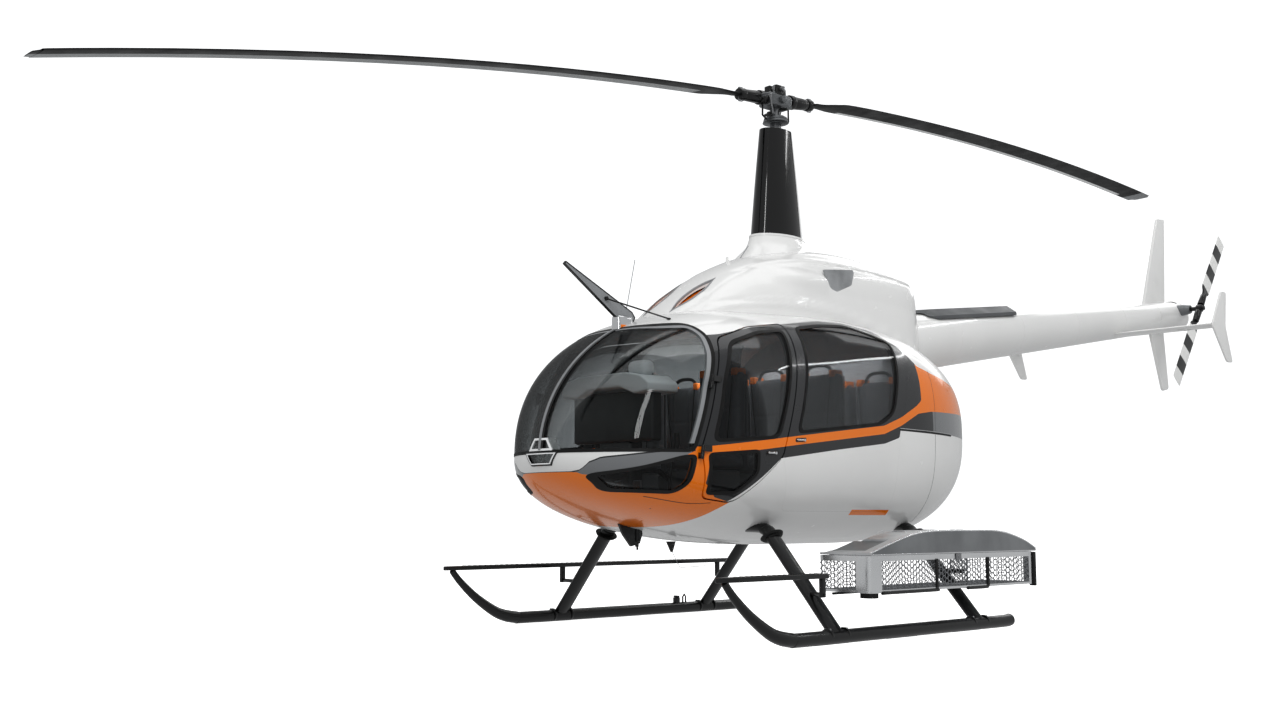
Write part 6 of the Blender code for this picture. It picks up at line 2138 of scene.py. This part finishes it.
    def build_aerials(self) -> None:
        """Whips, a blade aerial on the cowling and the belly aerial."""
        whip = tube([(0, -1.62, 2.285), (0, -1.58, 2.46), (0, -1.54, 2.64)], .0028, 10)
        put("front_whip_aerial", whip, GREY_PAINT)
        fin = [(-.60, 2.60), (-.535, 2.60), (-.565, 2.785), (-.585, 2.795), (-.592, 2.78)]
        put("cowling_blade_aerial", softened(prism(Axis.SIDE, fin, -.008, .008), .004, 2, False), WHITE_PAINT)
        whip = tube([(0, -.80, 2.40), (0, -.56, 2.66), (0, -.34, 2.91)], .0030, 10)
        put("cowling_whip_aerial", whip, GREY_PAINT)
        put("cowling_whip_base", disc((0, -.815, 2.385), (0, -.795, 2.412), .022, .012), STEEL)
        base = prism(Axis.SIDE, ((-1.235, .665), (-1.145, .665), (-1.175, .590), (-1.190, .590)), -.006, .006)
        put("belly_aerial_base", softened(base, .002, 2, False), BLACK_PAINT)
        wire = [(0, -1.180, .600), (0, -1.115, .500), (0, -1.10, .482), (0, -1.07, .480), (0, -.83, .487)]
        put("belly_aerial_wire", tube(wire, .0020, 8), STEEL)

    def build_doors(self) -> None:
        """Handles, hinges, and the slide rail's slot and lip."""
        for word, y, z in self.handles:
            x = POD.side_x(y, z)
            recess = [(y - .058, z - .016), (y + .052, z - .010), (y + .058, z + .018), (y - .052, z + .012)]
            plate = self.patch(round_outline(recess, .012, 4), .0012)
            lever = joined([rounded_box((x - .002, y - .046, z - .006), (x + .013, y + .034, z + .007), .004),
                            disc((x - .004, y + .026, z), (x + .016, y + .026, z), .010, sides=20)])
            body = "front_door" if word == "front" else AIRFRAME
            self.both(f"{word}_handle_recess", plate, BLACK_GLOSS, body)
            self.both(f"{word}_handle_lever", lever, CHROME, body)
        low, high = Vector(self.hinge_low), Vector(self.hinge_high)
        for word, level, door_leaf, frame_leaf in self.hinges:
            for holder, start, end, reach in (("front_door", level + FIT, level + .045, door_leaf),
                                              (AIRFRAME, level - .045, level, frame_leaf)):
                a, b = (low.lerp(high, (z - low.z) / (high.z - low.z)) for z in (start, end))
                middle, half = (a + b) / 2, (end - start) * .42
                tip = middle + Vector((-reach[0], reach[1], 0))
                across = Vector(((tip - middle).y, -(tip - middle).x, 0)).normalized() * .006
                corners = (middle + across, middle - across, tip - across, tip + across)
                leaf = prism(Axis.PLAN, corners, middle.z - half, middle.z + half)
                name = "door" if holder == "front_door" else "frame"
                knuckle = disc(a, b, .013, sides=28)
                self.both(f"hinge_{word}_{name}", joined([knuckle, leaf]), BLACK_PAINT, holder)
        self.both("slide_rail_slot", self.patch(self.rail, .0006, .004), DARK_TRIM)
        lip = [(.18, 1.4785), (.94, 1.4685), (.945, 1.472), (.175, 1.482)]
        self.both("slide_rail_lip", self.patch(lip, .0018, .004), BRUSHED)

    def build_seams(self) -> None:
        """Thin seams between the skin's panels, and the fuel filler."""
        sill = ((-1.98, .965), (-1.80, .93), (-1.70, .92), (-1.60, .925))
        aft = ((.64, .80), (.64, 1.10), (.645, 1.40), (.66, 1.70), (.68, 1.95))
        for name, points, half in (("sill_seam", sill, Vector((0, .0016))),
                                   ("aft_seam", aft, Vector((.0016, 0)))):
            fine = smooth_path(points, 6)
            edge = [p + half for p in fine] + [p - half for p in reversed(fine)]
            self.both(name, self.patch(edge, .0004, .003), DARK_TRIM)
        for name, radius, proud, count, finish in (("fuel_filler_cap", .052, .0022, 40, WHITE_PAINT),
                                                   ("fuel_filler_lock", .012, .0034, 24, STEEL)):
            ring = [(self.filler[0] + radius * math.cos(a), self.filler[1] + radius * math.sin(a))
                    for a in turns(count)]
            put(name, mirrored(self.patch(ring, proud, .004)), finish)

    def build(self) -> None:
        """Make the fittings."""
        self.build_lamp()
        self.build_cutters()
        self.build_aerials()
        self.build_doors()
        self.build_seams()


@dataclass
class Studio:
    """A pale floor, soft lamps and the camera at the photograph's place."""

    camera_place: Three = (6.775, -7.931, 0.818)
    camera_turn: Three = (96.79, 0.0, 46.45)
    lens: float = 37.69
    backdrop: float = 1.0
    sky: float = 0.44
    floor_glow: float = 0.80

    def build(self) -> None:
        """Make the floor, the sky and the lamps, and set the camera."""
        bm = bmesh.new()
        bmesh.ops.create_grid(bm, x_segments=2, y_segments=2, size=60)
        floor = bpy.data.objects.new("studio_floor", as_mesh(bm))
        pale = Finish("pale_floor", "F4F4F4", "F0F0F0", 0.6, grain_mm=20, wear=0.3).build()
        shader = next(node for node in pale.node_tree.nodes if node.type == "BSDF_PRINCIPLED")
        shader.inputs["Emission Color"].default_value = (1, 1, 1, 1)
        shader.inputs["Emission Strength"].default_value = self.floor_glow
        floor.data.materials.append(pale)
        link(floor)
        floor.visible_diffuse = floor.visible_glossy = False
        world = bpy.data.worlds.new("studio_sky")
        world.use_nodes = True
        tree = world.node_tree
        tree.nodes["Background"].inputs[0].default_value = linear("FBFCFD")
        path = add_node(tree, "ShaderNodeLightPath")
        dim = add_node(tree, "ShaderNodeMapRange", links={
            "Value": path.outputs["Is Camera Ray"], "To Min": self.sky, "To Max": self.backdrop})
        tree.links.new(dim.outputs["Result"], tree.nodes["Background"].inputs[1])
        bpy.context.scene.world = world
        bpy.context.scene.view_settings.view_transform = "Standard"
        bpy.context.scene.view_settings.look = "Medium High Contrast"
        for name, place, aim, size, power in (
                ("key", (7.0, -6.0, 8.0), (0, 0, 1.5), (6.0, 6.0), 310),
                ("fill", (-7.0, -7.0, 6.0), (0, 0, 1.5), (7.0, 7.0), 120),
                ("rim", (-2.0, 9.0, 7.5), (0, 1, 2.0), (6.0, 6.0), 130),
                ("top", (0.5, 0.0, 10.0), (0, 0, 1.0), (8.0, 8.0), 150),
                ("tail", (6.5, 6.0, 5.0), (0, 5.0, 1.8), (5.0, 5.0), 70),
                ("strip_high", (3.0, 6.5, 7.0), (.9, 0, 2.1), (8.0, 0.14), 30),
                ("strip_tall", (5.2, -7.4, 4.6), (0, 0, 2.6), (0.5, 5.0), 70),
                ("cabin", (0, -.7, 2.0), (0, -.7, 1.0), (1.2, 1.6), 36)):
            data = bpy.data.lights.new(name, "AREA")
            data.shape = "RECTANGLE"
            data.energy, (data.size, data.size_y) = power, size
            lamp = bpy.data.objects.new(name, data)
            lamp.visible_glossy = name in ("strip_high", "strip_tall", "top", "rim")
            lamp.location = place
            lamp.rotation_euler = (Vector(aim) - Vector(place)).to_track_quat("-Z", "Y").to_euler()
            link(lamp)
        data = bpy.data.cameras.new("photo_camera")
        data.lens, data.sensor_width = self.lens, 36.0
        camera = bpy.data.objects.new("photo_camera", data)
        camera.location = Vector(self.camera_place) + OFFSET
        camera.rotation_euler = [math.radians(a) for a in self.camera_turn]
        link(camera)
        bpy.context.scene.camera = camera


def dress_rest() -> None:
    """Give each CAD node that stays its finish and smooth faces, welded, with crisp edges where faces meet
    sharply.
    """
    plan = {
        BLACK_PAINT: ("cross_tube_front", "cross_tube_rear", "skid_left", "skid_right", "step_left",
                      "step_right", "wire_cutter_lower", "tail_hub", "main_blade_forward",
                      "main_blade_aft", "nose_lamp"),
        BLACK_GLOSS: ("mast_fairing",),
        WHITE_PAINT: ("tail_boom", "fin", "stabiliser", "endplate_left", "endplate_right", "cowling",
                      "tail_blade_upper", "tail_blade_lower"),
        STEEL: ("rotor_mast", "rotor_hub", "wire_cutter_upper"),
        CAST: ("main_gearbox", "tail_gearbox", "engine_block"),
        BRUSHED: ("basket", "basket_outer_walls", "basket_inner_wall", "basket_lid"),
        BURNT: ("exhaust_pipe",),
        TRIM: ("instrument_console", "boom_heat_shield"),
        CARPET: ("cabin_floor",),
        CABIN_CLOTH: ("firewall",),
        LEATHER: ("seat_front_left", "seat_front_right", "seat_row_middle", "seat_row_rear"),
    }
    for finish, names in plan.items():
        for name in names:
            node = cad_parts[name]
            if node.hide_render:
                continue
            node.data.materials.clear()
            node.data.materials.append(material(finish))
            for face in node.data.polygons:
                face.material_index = 0
                face.use_smooth = True
            weld = node.modifiers.new("weld", "WELD")
            weld.merge_threshold = WELD_REACH
            split = node.modifiers.new("split", "EDGE_SPLIT")
            split.split_angle = math.radians(CRISP_ANGLE)


def main() -> None:
    """Build every sub-assembly in order."""
    logging.basicConfig(level=logging.INFO, format="%(message)s")
    for builder in (Studio(), Cabin(), Cowling(), MainRotor(), Tail(), LandingGear(), Basket(), Interior(),
                    Fittings()):
        builder.build()
        LOG.info("%s done", type(builder).__name__)
    dress_rest()


if __name__ == "__main__":
    main()
